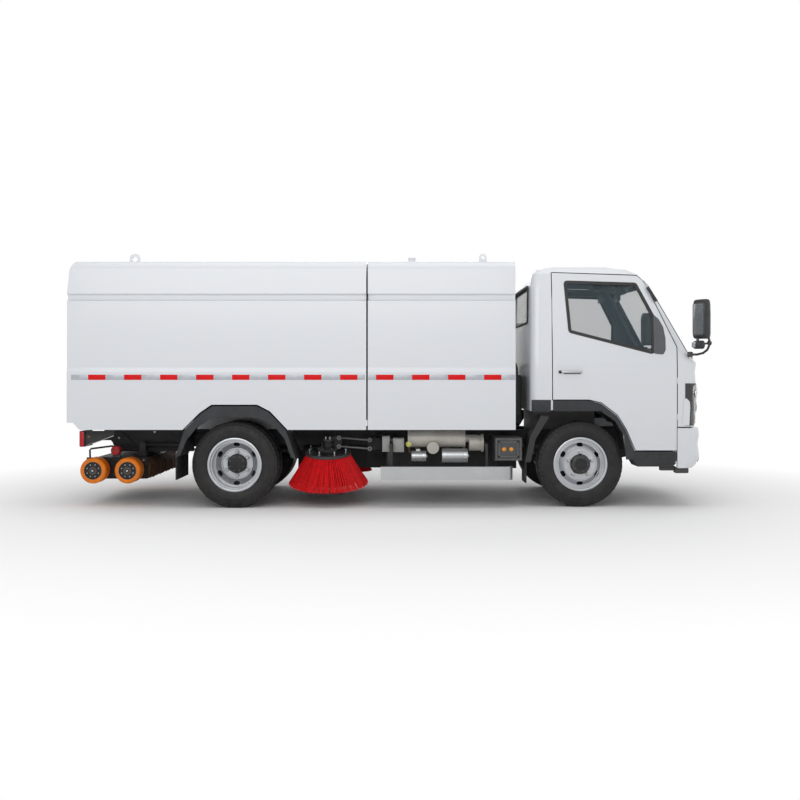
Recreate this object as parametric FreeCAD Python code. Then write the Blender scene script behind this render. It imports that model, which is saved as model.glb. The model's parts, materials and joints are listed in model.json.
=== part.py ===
import FreeCAD
import Part

import math
import os

# Street sweeper truck: forward-control light truck with a tipping rear hopper, a fixed front
# compartment, two swinging side brushes and a trailing suction nozzle on four rollers.
# Millimetres. +X is forward, +Y is the truck's left, +Z is up. The origin is on the ground at
# mid length, on the centreline. Lengths along the truck are given ahead of the rear axle and
# turned into the model's own X by ahead().

V = FreeCAD.Vector
X_DIR = V(1, 0, 0)
Y_DIR = V(0, 1, 0)
Z_DIR = V(0, 0, 1)

# Driving dimensions
WHEELBASE = 3050.0
REAR_OVERHANG = 1455.0
FRONT_OVERHANG = 1140.0
SEAT_GAP = 0.3
PIN_GAP = 0.4
MOVE_GAP = 8.0

OVERALL_LENGTH = REAR_OVERHANG + WHEELBASE + FRONT_OVERHANG
REAR_AXLE_X = REAR_OVERHANG - OVERALL_LENGTH / 2.0
FRONT_AXLE_X = REAR_AXLE_X + WHEELBASE

# Wheels and tyres
TYRE_RADIUS = 380.0
TYRE_WIDTH = 200.0
TYRE_SHOULDER = 36.0
TYRE_SIDES = 60
RIM_RADIUS = 227.0
RIM_BARREL_WALL = 9.0
RIM_BEAD_DEPTH = 14.0
RIM_SEAT_WIDTH = 30.0
RIM_WIDTH = 170.0
HUB_BORE_RADIUS = 52.0
DISC_THICKNESS = 12.0
FRONT_STUDS = 5
FRONT_STUD_CIRCLE = 108.0
REAR_STUDS = 6
REAR_STUD_CIRCLE = 104.0
STUD_RADIUS = 11.0
STUD_HEIGHT = 24.0
VENT_RADIUS = 17.0
VENT_LENGTH = 56.0
VENT_CIRCLE = 172.0
VENTS = 6
HUB_CAP_RADIUS = 80.0
FRONT_TYRE_OUTER_Y = 865.0
REAR_TYRE_OUTER_Y = 940.0
DUAL_SPACING = 235.0

# Frame rails
RAIL_INNER_Y = 285.0
RAIL_FLANGE = 65.0
RAIL_BOTTOM_Z = 520.0
RAIL_HEIGHT = 140.0
RAIL_WALL = 7.0
RAIL_REAR = -1230.0
RAIL_FRONT = 3960.0
EAR_RADIUS = 30.0
EAR_THICKNESS = 14.0

# Kingpins, knuckles and front axle
KINGPIN_Y = 690.0
KINGPIN_RADIUS = 20.0
STEER_YOKE_HALF = 62.0
SPINDLE_RADIUS = 30.0
DRUM_RADIUS = 150.0
DRUM_DEPTH = 74.0
BEAM_DROP_Z = 290.0
BEAM_HEIGHT = 76.0
BEAM_WIDTH = 78.0
SPRING_Y = 317.0
SPRING_WIDTH = 60.0
LEAF_THICKNESS = 12.0
SPRING_EYE_RADIUS = 20.0
CROSS_TUBE_RADIUS = 30.0

# Rear axle
AXLE_TUBE_RADIUS = 50.0
DIFF_RADIUS = 165.0
DIFF_WIDTH = 210.0

# Box: rear hopper and front compartment share one cross-section
BOX_HALF_WIDTH = 990.0
BOX_TOP_Z = 2167.0
BOX_BOTTOM_Z = 691.0
BOX_SHOULDER = 80.0
BOX_STEP_LOW_Z = 1197.0
BOX_STEP_HIGH_Z = 1235.0
BOX_STEP_DEPTH = 9.0
GROOVE_LOW_Z = 1816.0
GROOVE_HIGH_Z = 1881.0
GROOVE_DEPTH = 26.0
GROOVE_BEVEL = 14.0
BOX_WALL = 45.0
BOX_SEAM = 1165.0
BOX_SEAM_GAP = 14.0
BOX_FRONT = 2462.0
HOPPER_FLOOR_Z = 770.0
HOPPER_FLOOR_WALL = 40.0
HOPPER_REAR_STEP_Z = 752.0
HOPPER_REAR_STEP = 110.0
REAR_SLOPE_LOW_Z = 2096.0
REAR_SLOPE_TOP = 62.0
REAR_SLOPE_MID = 22.0

# Rear wheel arches
ARCH_TOP_Z = 898.0
ARCH_THICKNESS = 16.0
ARCH_INNER_Y = 480.0
ARCH_OUTER_Y = 984.0
ARCH_OUTLINE = (
    (-510.0, 452.0),
    (-429.0, 690.0),
    (-290.0, 828.0),
    (-188.0, ARCH_TOP_Z),
    (202.0, ARCH_TOP_Z),
    (310.0, 842.0),
    (455.0, 690.0),
    (545.0, 434.0),
)

ARCH_LIP_THICKNESS = 10.0
ARCH_LIP_INNER = (
    (-466.0, 470.0),
    (-412.0, 600.0),
    (-327.0, 705.0),
    (-215.0, 778.0),
    (-100.0, 808.0),
    (14.0, 815.0),
    (130.0, 808.0),
    (240.0, 785.0),
    (352.0, 728.0),
    (446.0, 610.0),
    (500.0, 452.0),
)

# Hopper pivot, tip cylinder and tailgate
TIP_PIVOT = -1272.0
TIP_PIVOT_Z = 700.0
TIP_PIN_RADIUS = 18.0
CYLINDER_BASE = -582.0
CYLINDER_BASE_Z = 555.0
CYLINDER_EYE = 228.0
CYLINDER_EYE_Z = 700.0
CYLINDER_Y = 205.0
BARREL_RADIUS = 40.0
BARREL_NECK_RADIUS = 16.0
BARREL_START = 46.0
ROD_RADIUS = 22.0
EYE_RADIUS = 34.0
EYE_PIN_RADIUS = 15.0
EYE_WIDTH = 36.0
TAILGATE_THICKNESS = 48.0
TAILGATE_HINGE_Z = 2058.0
TAILGATE_HALF_WIDTH = 925.0
TAILGATE_HINGE_IN = 28.0
TAILGATE_PIN_RADIUS = 9.0

# Cab
CAB_WALL = 45.0
CAB_REAR = 2605.0
CAB_BOTTOM_Z = 500.0
CAB_CORNER = 110.0
CAB_REAR_CORNER = 70.0
CAB_SECTIONS = (
    # height, front edge at the corner, bow of the front, half width, rear edge
    (CAB_BOTTOM_Z, 4050.0, 100.0, 896.0, CAB_REAR),
    (717.0, 4071.0, 91.0, 900.0, CAB_REAR),
    (1054.0, 4089.0, 94.0, 900.0, CAB_REAR),
    (1196.0, 4078.0, 94.0, 900.0, CAB_REAR),
    (1275.0, 4090.0, 97.0, 897.0, CAB_REAR),
    (1362.0, 4016.0, 106.0, 890.0, CAB_REAR),
    (1957.0, 3683.0, 96.0, 842.0, CAB_REAR + 10.0),
    (2071.0, 3588.0, 92.0, 820.0, CAB_REAR + 30.0),
    (2112.0, 3505.0, 88.0, 790.0, CAB_REAR + 70.0),
    (2138.0, 3380.0, 84.0, 715.0, CAB_REAR + 150.0),
)
CAB_TILT_X = 3985.0
CAB_TILT_Z = 700.0
CAB_PIVOT_Y = 405.0
CAB_PIN_RADIUS = 20.0
WHEELHOUSE = (
    (CAB_REAR - 60.0, 852.0),
    (2720.0, 852.0),
    (2860.0, 868.0),
    (3215.0, 862.0),
    (3348.0, 780.0),
    (3418.0, 660.0),
    (3448.0, 430.0),
    (3448.0, 300.0),
    (CAB_REAR - 60.0, 300.0),
)
FLOOR_THICKNESS = 40.0
SEAT_FLOOR_Z = 962.0
FOOT_FLOOR_Z = 780.0
SEAT_BOX_FRONT = 3492.0
STEP_INNER_Y = 640.0
TUNNEL_HALF_WIDTH = 375.0

# Doors
DOOR_FRONT = 3893.0
DOOR_OUTLINE = (
    (2801.0, 2078.0),
    (3560.0, 2052.0),
    (3612.0, 2016.0),
    (DOOR_FRONT, 1416.0),
    (DOOR_FRONT, 506.0),
    (3531.0, 506.0),
    (3451.0, 692.0),
    (3373.0, 818.0),
    (3231.0, 928.0),
    (3120.0, 954.0),
    (2801.0, 954.0),
)
DOOR_GAP = 8.0
DOOR_HINGE_OUT = 1.0
DOOR_PRISM_INNER_Y = 740.0
HINGE_RADIUS = 3.4
HINGE_PIN_RADIUS = 1.6
HINGE_HEIGHT = 40.0
HINGE_LEVELS = (780.0, 1100.0)
CAB_HALF_WIDTH = 900.0
WINDOW_OUTLINE = (
    (2905.0, 2006.0),
    (3545.0, 1986.0),
    (3700.0, 1690.0),
    (3700.0, 1352.0),
    (2945.0, 1548.0),
)
WINDOW_CORNER = 34.0
GLASS_INSET = 14.0
GLASS_THICKNESS = 6.0
SCREEN_BOTTOM_Z = 1345.0
SCREEN_TOP_Z = 2020.0
SCREEN_BOTTOM_HALF = 770.0
SCREEN_TOP_HALF = 700.0
BACKLIGHT_BOTTOM_Z = 1640.0
BACKLIGHT_TOP_Z = 1975.0
BACKLIGHT_HALF = 660.0

# Bumper, lamps, sills and mirrors
BUMPER_TOP_Z = 702.0
BUMPER_BOTTOM_Z = 350.0
NOSE_GAP = 12.0
BUMPER_WALL = 40.0
BUMPER_REAR = 3898.0
BUMPER_BOW = 76.0
BUMPER_HALF_WIDTH = 905.0
LAMP_BOTTOM_Z = 724.0
LAMP_TOP_Z = 1096.0
LAMP_INNER_Y = 640.0
LAMP_REAR = 3966.0
SILL_FRONT = 3884.0
SILL_REAR = 3530.0
SILL_TOP_Z = 494.0
SILL_BOTTOM_Z = 362.0
MIRROR_FRONT = 4158.0
MIRROR_REAR = 4004.0
MIRROR_TOP_Z = 1829.0
MIRROR_BOTTOM_Z = 1484.0
MIRROR_LOW_TOP_Z = 1470.0
MIRROR_LOW_BOTTOM_Z = 1395.0
MIRROR_INNER_Y = 935.0
MIRROR_OUTER_Y = 1100.0
MIRROR_ARM_RADIUS = 11.0

# Side brushes
BRUSH_AHEAD = 804.0
BRUSH_Y = 620.0
BRUSH_TIP_Z = 182.0
BRUSH_TIP_RADIUS = 362.0
BRUSH_DISC_RADIUS = 205.0
BRUSH_DISC_THICKNESS = 28.0
BRUSH_HEIGHT = 300.0
BRUSH_TILT_DEG = 10.0
BRUSH_TUFTS = 26
BRUSH_TUFT_DEPTH = 52.0
ARM_LENGTH = 280.0
ARM_FRONT = 1180.0
ARM_FRONT_Z = 503.0
ARM_SPACING_Z = 78.0
ARM_RISE = 20.0
ARM_RADIUS = 11.0
ARM_EYE_RADIUS = 20.0
ARM_PIN_RADIUS = 8.0
ARM_EYE_WIDTH = 24.0
SWING_POST = 1262.0
SWING_POST_Y = 470.0
SWING_POST_RADIUS = 16.0

# Suction nozzle, pull arms and rollers
NOZZLE_REAR = -1400.0
NOZZLE_FRONT = -850.0
NOZZLE_HALF_WIDTH = 590.0
NOZZLE_TOP_Z = 420.0
NOZZLE_BOTTOM_Z = 226.0
NOZZLE_WALL = 8.0
ROLLER_RADIUS = 115.0
ROLLER_WIDTH = 150.0
ROLLER_OUTER_Y = 800.0
ROLLER_HUB_RADIUS = 78.0
ROLLER_REAR = -1284.0
ROLLER_FRONT = -976.0
ROLLER_Z = 317.0
ROLLER_AXLE_RADIUS = 18.0
PULL_FRONT = -498.0
PULL_REAR = -926.0
PULL_Z = 524.0
PULL_Y = 412.0
PULL_RADIUS = 17.0
PULL_EYE_RADIUS = 30.0
PULL_EYE_WIDTH = 34.0
PULL_PIN_RADIUS = 13.0
DUCT_RADIUS = 118.0
DUCT_WALL = 6.0
DUCT_AHEAD = -1010.0
DUCT_TOP_Z = 700.0
INLET_RADIUS = 132.0
INLET_WALL = 8.0
INLET_LAP = 35.0

# Things hung under the front compartment
GUARD_REAR = 1283.0
GUARD_FRONT = 2448.0
GUARD_TOP_Z = 366.0
GUARD_BOTTOM_Z = 249.0
GUARD_OUTER_Y = 958.0
GUARD_THICKNESS = 26.0
GUARD_END_RADIUS = 90.0
GUARD_END_STEPS = 8
MUFFLER_REAR = 1522.0
MUFFLER_FRONT = 2035.0
MUFFLER_Y = 745.0
MUFFLER_Z = 602.0
MUFFLER_RADIUS = 78.0
FILTER_Z = 562.0
FILTER_RADIUS = 70.0
FILTER_LENGTH = 108.0
BATTERY_REAR = 2290.0
BATTERY_FRONT = 2528.0
BATTERY_TOP_Z = 617.0
BATTERY_BOTTOM_Z = 415.0

# Wheel discs, from the rim's edge or the hub's face
FRONT_DISC_OUT = 22.0
FRONT_DISC_IN = 52.0
REAR_DISC_OUT = 172.0
REAR_DISC_IN = 120.0
INNER_DISC_IN = 60.0

# Leaf springs
FRONT_SPRING_SPAN = 1120.0
REAR_SPRING_SPAN = 1060.0
FRONT_EYE_Z = 430.0
REAR_EYE_Z = 484.0
LEAF_PACK = 3.0 * LEAF_THICKNESS + 0.5
FRONT_SEAT_Z = BEAM_DROP_Z + BEAM_HEIGHT / 2.0 + LEAF_PACK + SEAT_GAP
REAR_SEAT_Z = TYRE_RADIUS + AXLE_TUBE_RADIUS + 6.0 + LEAF_PACK + SEAT_GAP

# Engines
AXLE_NOSE = 235.0
GEARBOX_HEIGHT = 130.0
ENGINE_REAR = 2180.0
ENGINE_FRONT = 3290.0
ENGINE_BOTTOM_Z = 480.0
ENGINE_TOP_Z = 830.0
ENGINE_HALF_WIDTH = 240.0
FAN_ENGINE_REAR = 1330.0
FAN_ENGINE_FRONT = 2150.0
FAN_ENGINE_HALF_WIDTH = 310.0
FAN_ENGINE_TOP_Z = 1480.0

# Lifting lugs and roof hatch
LUG_REAR = -905.0
LUG_FRONT = 2190.0
LUG_Y = 800.0
LUG_TOP_Z = 2250.0
LUG_BORE_RADIUS = 22.0
HATCH_AHEAD = 1562.0
HATCH_Y = -560.0
HATCH_RADIUS = 142.0
HATCH_HEIGHT = 28.0

# Steering wheel
STEERING_WHEEL = (3440.0, 420.0, 1360.0)
STEERING_WHEEL_RADIUS = 205.0
STEERING_TILT_DEG = 50.0

# Pull arm bracket
PULL_BRACKET_Z = 574.0

# Rear lamp bar
LAMP_BAR_REAR = -1372.0
LAMP_BAR_FRONT = -1335.0
LAMP_BAR_HALF_WIDTH = 860.0
LAMP_BAR_BOTTOM_Z = 560.0
LAMP_BAR_TOP_Z = 640.0
REAR_LAMP_INNER_Y = 640.0
REAR_LAMP_OUTER_Y = 880.0
REAR_LAMP_BOTTOM_Z = 536.0
REAR_LAMP_TOP_Z = 676.0
LAMP_STAY_FRONT = -1075.0
LAMP_STAY_Y = 852.0
LAMP_STAY_THICKNESS = 10.0

# Battery box and valve boxes; each valve box is rear end, front end, bottom and top
BATTERY_OUTER_Y = 900.0
BATTERY_INNER_Y = 520.0
VALVE_OUTER_Y = 880.0
VALVE_INNER_Y = 700.0
VALVE_BOXES = ((1296.0, 1362.0, 492.0, 626.0), (1392.0, 1488.0, 490.0, 608.0))
SMALL_ARM_BOTTOM_Z = 540.0
SMALL_ARM_TOP_Z = 580.0

# Air tanks: rear end, front end, height and radius of each
AIR_TANKS = ((1556.0, 1684.0, 450.0, 46.0), (1826.0, 2052.0, 455.0, 62.0))
AIR_TANK_Y = 820.0
AIR_STAY_WIDTH = 36.0
AIR_STAY_BOTTOM_Z = 486.0
AIR_STAY_TOP_Z = 512.0
AIR_RISER_TOP_Z = 560.0

# Fuel tank on the left
TANK_REAR = 1480.0
TANK_FRONT = 2160.0
TANK_INNER_Y = 470.0
TANK_OUTER_Y = 900.0
TANK_BOTTOM_Z = 300.0
TANK_TOP_Z = 640.0
TANK_ROUNDING = 60.0
TANK_STRAP_WIDTH = 40.0
FILLER_NECK_RADIUS = 34.0

# Legs of the side guards
GUARD_LEGS = (1377.0, 2215.0)
GUARD_LEG_WIDTH = 20.0
GUARD_LEG_TOP_Z = 565.0
GUARD_LEG_HEIGHT = 35.0

# Muffler fittings
MUFFLER_BAND_WIDTH = 12.0
MUFFLER_BAND_RISE = 7.0
TAIL_PIPE_RADIUS = 34.0
FILTER_BAND_WIDTH = 20.0
FILTER_BAND_RISE = 8.0
MUFFLER_INLET_RADIUS = 53.0

# Mirror arm: foot on the pillar, bend and head
MIRROR_FOOT = (4010.0, 860.0, 1352.0)
MIRROR_BEND = (4146.0, 1010.0, 1448.0)
MIRROR_HEAD = (4120.0, 1010.0, 1600.0)

# Dashboard and steering column
DASH_LOW_Z = 1010.0
DASH_TOP_Z = 1330.0
COLUMN_LENGTH = 330.0
COLUMN_RADIUS = 28.0
WHEEL_RING_RADIUS = 14.0
WHEEL_HUB_RADIUS = 52.0
SPOKE_RADIUS = 11.0

# Side brush motor
MOTOR_RADIUS = 46.0
MOTOR_HEIGHT = 96.0
MOTOR_PLATE_RADIUS = 92.0
MOTOR_PLATE_THICKNESS = 12.0


def ahead(distance):
    """Model X of a place this far ahead of the rear axle."""
    return REAR_AXLE_X + distance


def box(x0, x1, y0, y1, z0, z1):
    """Block between two x, two y and two z values, in any order."""
    low = V(min(x0, x1), min(y0, y1), min(z0, z1))
    return Part.makeBox(abs(x1 - x0), abs(y1 - y0), abs(z1 - z0), low)


def rod(start, end, radius):
    """Round bar between two points."""
    along = end - start
    return Part.makeCylinder(radius, along.Length, start, along)


def bar_y(x, z, y0, y1, radius):
    """Round bar across the truck."""
    return rod(V(x, min(y0, y1), z), V(x, max(y0, y1), z), radius)


def side_prism(points, y0, y1):
    """Side outline of (x, z) points, run across the truck from y0 to y1."""
    low = min(y0, y1)
    corners = [V(x, low, z) for x, z in points]
    face = Part.Face(Part.makePolygon(corners + corners[:1]))
    return face.extrude(Y_DIR * abs(y1 - y0))


def rounded_side_prism(points, radius, y0, y1):
    """Side outline with its corners rounded, run across the truck."""
    solid = side_prism(points, y0, y1)
    edges = [e for e in solid.Edges if abs(e.tangentAt(e.FirstParameter).y) > 0.99]
    return solid.makeFillet(radius, edges)


def end_prism(points, x0, x1):
    """End outline of (y, z) points, run along the truck from x0 to x1."""
    low = min(x0, x1)
    corners = [V(low, y, z) for y, z in points]
    face = Part.Face(Part.makePolygon(corners + corners[:1]))
    return face.extrude(X_DIR * abs(x1 - x0))


def plan_prism(points, z0, z1):
    """Plan outline of (x, y) points, run up from z0 to z1."""
    low = min(z0, z1)
    corners = [V(x, y, low) for x, y in points]
    face = Part.Face(Part.makePolygon(corners + corners[:1]))
    return face.extrude(Z_DIR * abs(z1 - z0))


def lathe_y(profile, x, z, side=1.0):
    """Solid of revolution about a line across the truck; profile is (y, radius) points."""
    corners = [V(x, side * y, z + r) for y, r in profile]
    face = Part.Face(Part.makePolygon(corners + corners[:1]))
    return face.revolve(V(x, 0, z), Y_DIR, 360)


def fuse(shapes):
    """One body from pieces that touch or overlap."""
    return shapes[0].multiFuse(list(shapes[1:])).removeSplitter()


def mirrored(shape):
    """The same piece on the other side of the truck."""
    return shape.mirror(V(0, 0, 0), Y_DIR)


def both_sides(shape):
    """The shape and its mirror image in the middle plane."""
    return [shape, mirrored(shape)]


def export(name, shapes):
    """Write one sub-part, made of the given solids."""
    solids = []
    for shape in shapes:
        solids.extend(shape.Solids)
    Part.makeCompound(solids).exportStep("parts/" + name + ".step")


def shifted(points):
    """Side outline given ahead of the rear axle, in the model's own X."""
    return [(ahead(a), z) for a, z in points]


# Wheels

def tyre(x, outer_y, side):
    """Tyre with a flat tread and sloped shoulders; its round is a fine polygon, flat side down."""
    step = 2.0 * math.pi / TYRE_SIDES
    reach = TYRE_RADIUS / math.cos(step / 2.0)
    low = min(side * outer_y, side * (outer_y - TYRE_WIDTH))
    corners = []
    for i in range(TYRE_SIDES + 1):
        turn = (i + 0.5) * step - math.pi / 2.0
        corners.append(V(x + reach * math.cos(turn), low, TYRE_RADIUS + reach * math.sin(turn)))
    solid = Part.Face(Part.makePolygon(corners)).extrude(Y_DIR * TYRE_WIDTH)
    rim_edges = [e for e in solid.Edges if abs(e.tangentAt(e.FirstParameter).y) < 0.5]
    solid = solid.makeChamfer(TYRE_SHOULDER, rim_edges)
    return solid.cut(bar_y(x, TYRE_RADIUS, low, low + TYRE_WIDTH, RIM_RADIUS + SEAT_GAP))


def oval_y(cx, cz, turn, low, high):
    """Oval bar across the truck for a vent; its long way lies along the wheel's round."""
    reach = VENT_LENGTH / 2.0 - VENT_RADIUS
    dx = -reach * math.sin(turn)
    dz = reach * math.cos(turn)
    ends = [bar_y(cx + k * dx, cz + k * dz, low, high, VENT_RADIUS) for k in (1.0, -1.0)]
    corner = V(-VENT_RADIUS, min(low, high), -reach)
    web = Part.makeBox(2.0 * VENT_RADIUS, abs(high - low), 2.0 * reach, corner)
    web.rotate(V(0, 0, 0), Y_DIR, -math.degrees(turn))
    web.translate(V(cx, 0, cz))
    return fuse(ends + [web])


def rim_barrel(middle):
    """Section of a rim's barrel: a dropped centre between two bead seats."""
    half = RIM_WIDTH / 2.0
    wall = RIM_BARREL_WALL
    drop = RIM_BEAD_DEPTH
    return [
        (middle - half, RIM_RADIUS),
        (middle - half + RIM_SEAT_WIDTH, RIM_RADIUS),
        (middle - half + RIM_SEAT_WIDTH, RIM_RADIUS - drop),
        (middle + half - RIM_SEAT_WIDTH, RIM_RADIUS - drop),
        (middle + half - RIM_SEAT_WIDTH, RIM_RADIUS),
        (middle + half, RIM_RADIUS),
        (middle + half, RIM_RADIUS - wall),
        (middle + half - RIM_SEAT_WIDTH + wall, RIM_RADIUS - wall),
        (middle + half - RIM_SEAT_WIDTH + wall, RIM_RADIUS - drop - wall),
        (middle - half + RIM_SEAT_WIDTH - wall, RIM_RADIUS - drop - wall),
        (middle - half + RIM_SEAT_WIDTH - wall, RIM_RADIUS - wall),
        (middle - half, RIM_RADIUS - wall),
    ]


def rim(x, outer_y, side, disc_out, disc_in, studs, stud_circle, spindle_radius=0.0):
    """Steel rim: barrel with two flanges and a dished disc with vent slots and wheel nuts.

    disc_out and disc_in are how far inside the tyre's outer face the disc's centre and its
    edge lie.
    """
    middle = outer_y - TYRE_WIDTH / 2.0
    disc_edge = RIM_RADIUS - RIM_BEAD_DEPTH - 2.0
    barrel = rim_barrel(middle)
    edge_y = outer_y - disc_in
    hub_y = outer_y - disc_out
    disc = [
        (edge_y, disc_edge),
        (edge_y, VENT_CIRCLE + 14.0),
        (hub_y, stud_circle + 40.0),
        (hub_y, HUB_BORE_RADIUS),
        (hub_y - DISC_THICKNESS, HUB_BORE_RADIUS),
        (hub_y - DISC_THICKNESS, stud_circle + 40.0),
        (edge_y - DISC_THICKNESS, VENT_CIRCLE + 14.0),
        (edge_y - DISC_THICKNESS, disc_edge),
    ]
    wheel = lathe_y(barrel, x, TYRE_RADIUS, side).fuse(lathe_y(disc, x, TYRE_RADIUS, side))
    if spindle_radius:
        bore = spindle_radius + PIN_GAP
        hub_back = hub_y - DISC_THICKNESS - 26.0
        sleeve = HUB_BORE_RADIUS + 8.0
        hub = [(hub_back, bore), (hub_back, sleeve), (hub_y, sleeve), (hub_y, bore)]
        wheel = wheel.fuse(lathe_y(hub, x, TYRE_RADIUS, side))
    cuts = []
    for i in range(VENTS):
        turn = math.radians(30.0 + 360.0 * i / VENTS)
        cx = x + VENT_CIRCLE * math.cos(turn)
        cz = TYRE_RADIUS + VENT_CIRCLE * math.sin(turn)
        low = side * (min(edge_y, hub_y) - 3.0 * DISC_THICKNESS)
        high = side * (max(edge_y, hub_y) + 2.0 * DISC_THICKNESS)
        cuts.append(oval_y(cx, cz, turn, low, high))
    wheel = wheel.cut(Part.makeCompound(cuts))
    nuts = []
    for i in range(studs):
        turn = math.radians(90.0 + 360.0 * i / studs)
        cx = x + stud_circle * math.cos(turn)
        cz = TYRE_RADIUS + stud_circle * math.sin(turn)
        nuts.append(bar_y(cx, cz, side * (hub_y - 1.0), side * (hub_y + STUD_HEIGHT), STUD_RADIUS))
    cap = bar_y(x, TYRE_RADIUS, side * (hub_y - 1.0), side * (hub_y + 34.0), HUB_CAP_RADIUS)
    return fuse([wheel, cap] + nuts)


def front_wheel(side):
    """Single front tyre and its rim."""
    piece = rim(FRONT_AXLE_X, FRONT_TYRE_OUTER_Y, side, FRONT_DISC_OUT, FRONT_DISC_IN,
                FRONT_STUDS, FRONT_STUD_CIRCLE, SPINDLE_RADIUS)
    return tyre(FRONT_AXLE_X, FRONT_TYRE_OUTER_Y, side), piece


def rear_wheels(side):
    """Twin tyres and their two rims on one hub."""
    inner_y = REAR_TYRE_OUTER_Y - DUAL_SPACING
    tyres = [tyre(REAR_AXLE_X, y, side) for y in (REAR_TYRE_OUTER_Y, inner_y)]
    outer_rim = rim(REAR_AXLE_X, REAR_TYRE_OUTER_Y, side, REAR_DISC_OUT, REAR_DISC_IN,
                    REAR_STUDS, REAR_STUD_CIRCLE)
    mate = REAR_TYRE_OUTER_Y - REAR_DISC_OUT - DISC_THICKNESS
    middle = inner_y - TYRE_WIDTH / 2.0
    edge_radius = RIM_RADIUS - RIM_BEAD_DEPTH - 2.0
    disc_edge = inner_y - INNER_DISC_IN
    disc = [
        (disc_edge, edge_radius),
        (mate, REAR_STUD_CIRCLE + 40.0),
        (mate, HUB_BORE_RADIUS),
        (mate - DISC_THICKNESS, HUB_BORE_RADIUS),
        (mate - DISC_THICKNESS, REAR_STUD_CIRCLE + 40.0),
        (disc_edge - DISC_THICKNESS, edge_radius),
    ]
    inner_rim = lathe_y(rim_barrel(middle), REAR_AXLE_X, TYRE_RADIUS, side)
    inner_rim = inner_rim.fuse(lathe_y(disc, REAR_AXLE_X, TYRE_RADIUS, side))
    return tyres, [fuse([outer_rim, inner_rim])]


# Running gear

def frame_rail():
    """Channel rail, open towards the other rail, with the ears that carry the hopper pivot."""
    x0 = ahead(RAIL_REAR)
    x1 = ahead(RAIL_FRONT)
    inner = RAIL_INNER_Y
    outer = RAIL_INNER_Y + RAIL_FLANGE
    low = RAIL_BOTTOM_Z
    high = RAIL_BOTTOM_Z + RAIL_HEIGHT
    channel = box(x0, x1, inner, outer, low, high)
    hollow = box(x0 - 1, x1 + 1, inner - 1, outer - RAIL_WALL, low + RAIL_WALL, high - RAIL_WALL)
    rail = channel.cut(hollow)
    px = ahead(TIP_PIVOT)
    ear = side_prism([
        (px - 34.0, TIP_PIVOT_Z + 34.0),
        (px + 34.0, TIP_PIVOT_Z + 34.0),
        (x0 + 190.0, low + 20.0),
        (x0, low + 20.0),
        (px - 34.0, TIP_PIVOT_Z - 50.0),
    ], outer, outer + EAR_THICKNESS)
    pin = bar_y(px, TIP_PIVOT_Z, inner + 4.0, outer + 1.0, TIP_PIN_RADIUS)
    front_x = ahead(CAB_TILT_X)
    tower = side_prism([
        (front_x - EAR_RADIUS, CAB_TILT_Z),
        (front_x + EAR_RADIUS, CAB_TILT_Z),
        (front_x + EAR_RADIUS, CAB_TILT_Z - 60.0),
        (x1, low + 30.0),
        (x1 - 200.0, low + 30.0),
        (front_x - EAR_RADIUS - 10.0, CAB_TILT_Z - 40.0),
    ], outer, outer + EAR_THICKNESS)
    tower = tower.fuse(bar_y(front_x, CAB_TILT_Z, outer, outer + EAR_THICKNESS, EAR_RADIUS))
    cab_pin = bar_y(front_x, CAB_TILT_Z, outer + EAR_THICKNESS - 2.0, CAB_PIVOT_Y + 40.0, CAB_PIN_RADIUS)
    return fuse([rail, ear, pin, tower, cab_pin])


def crossmembers():
    """Tubes and one channel that tie the rails together."""
    pieces = []
    z = RAIL_BOTTOM_Z + RAIL_HEIGHT - CROSS_TUBE_RADIUS - 18.0
    half = RAIL_INNER_Y + RAIL_FLANGE - RAIL_WALL
    base_place = CYLINDER_BASE - EYE_RADIUS - CROSS_TUBE_RADIUS - 30.0
    for place in (base_place, 520.0, 1150.0, 1900.0, RAIL_FRONT - 60.0):
        tube = bar_y(ahead(place), z, -half, half, CROSS_TUBE_RADIUS)
        if place == base_place:
            lugs = [tube]
            for y in (CYLINDER_Y, -CYLINDER_Y):
                base_x = ahead(CYLINDER_BASE)
                for s in (-1.0, 1.0):
                    edge = y + s * (EYE_WIDTH / 2.0 + 10.0)
                    lugs.append(side_prism([
                        (ahead(place), z + 24.0),
                        (base_x + 20.0, CYLINDER_BASE_Z + 22.0),
                        (base_x + 20.0, CYLINDER_BASE_Z - 22.0),
                        (ahead(place), z - 28.0),
                    ], edge - 6.0, edge + 6.0))
                lugs.append(bar_y(base_x, CYLINDER_BASE_Z, y - EYE_WIDTH / 2.0 - 12.0,
                                  y + EYE_WIDTH / 2.0 + 12.0, EYE_PIN_RADIUS))
            tube = fuse(lugs)
        pieces.append(tube)
    return pieces


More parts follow.
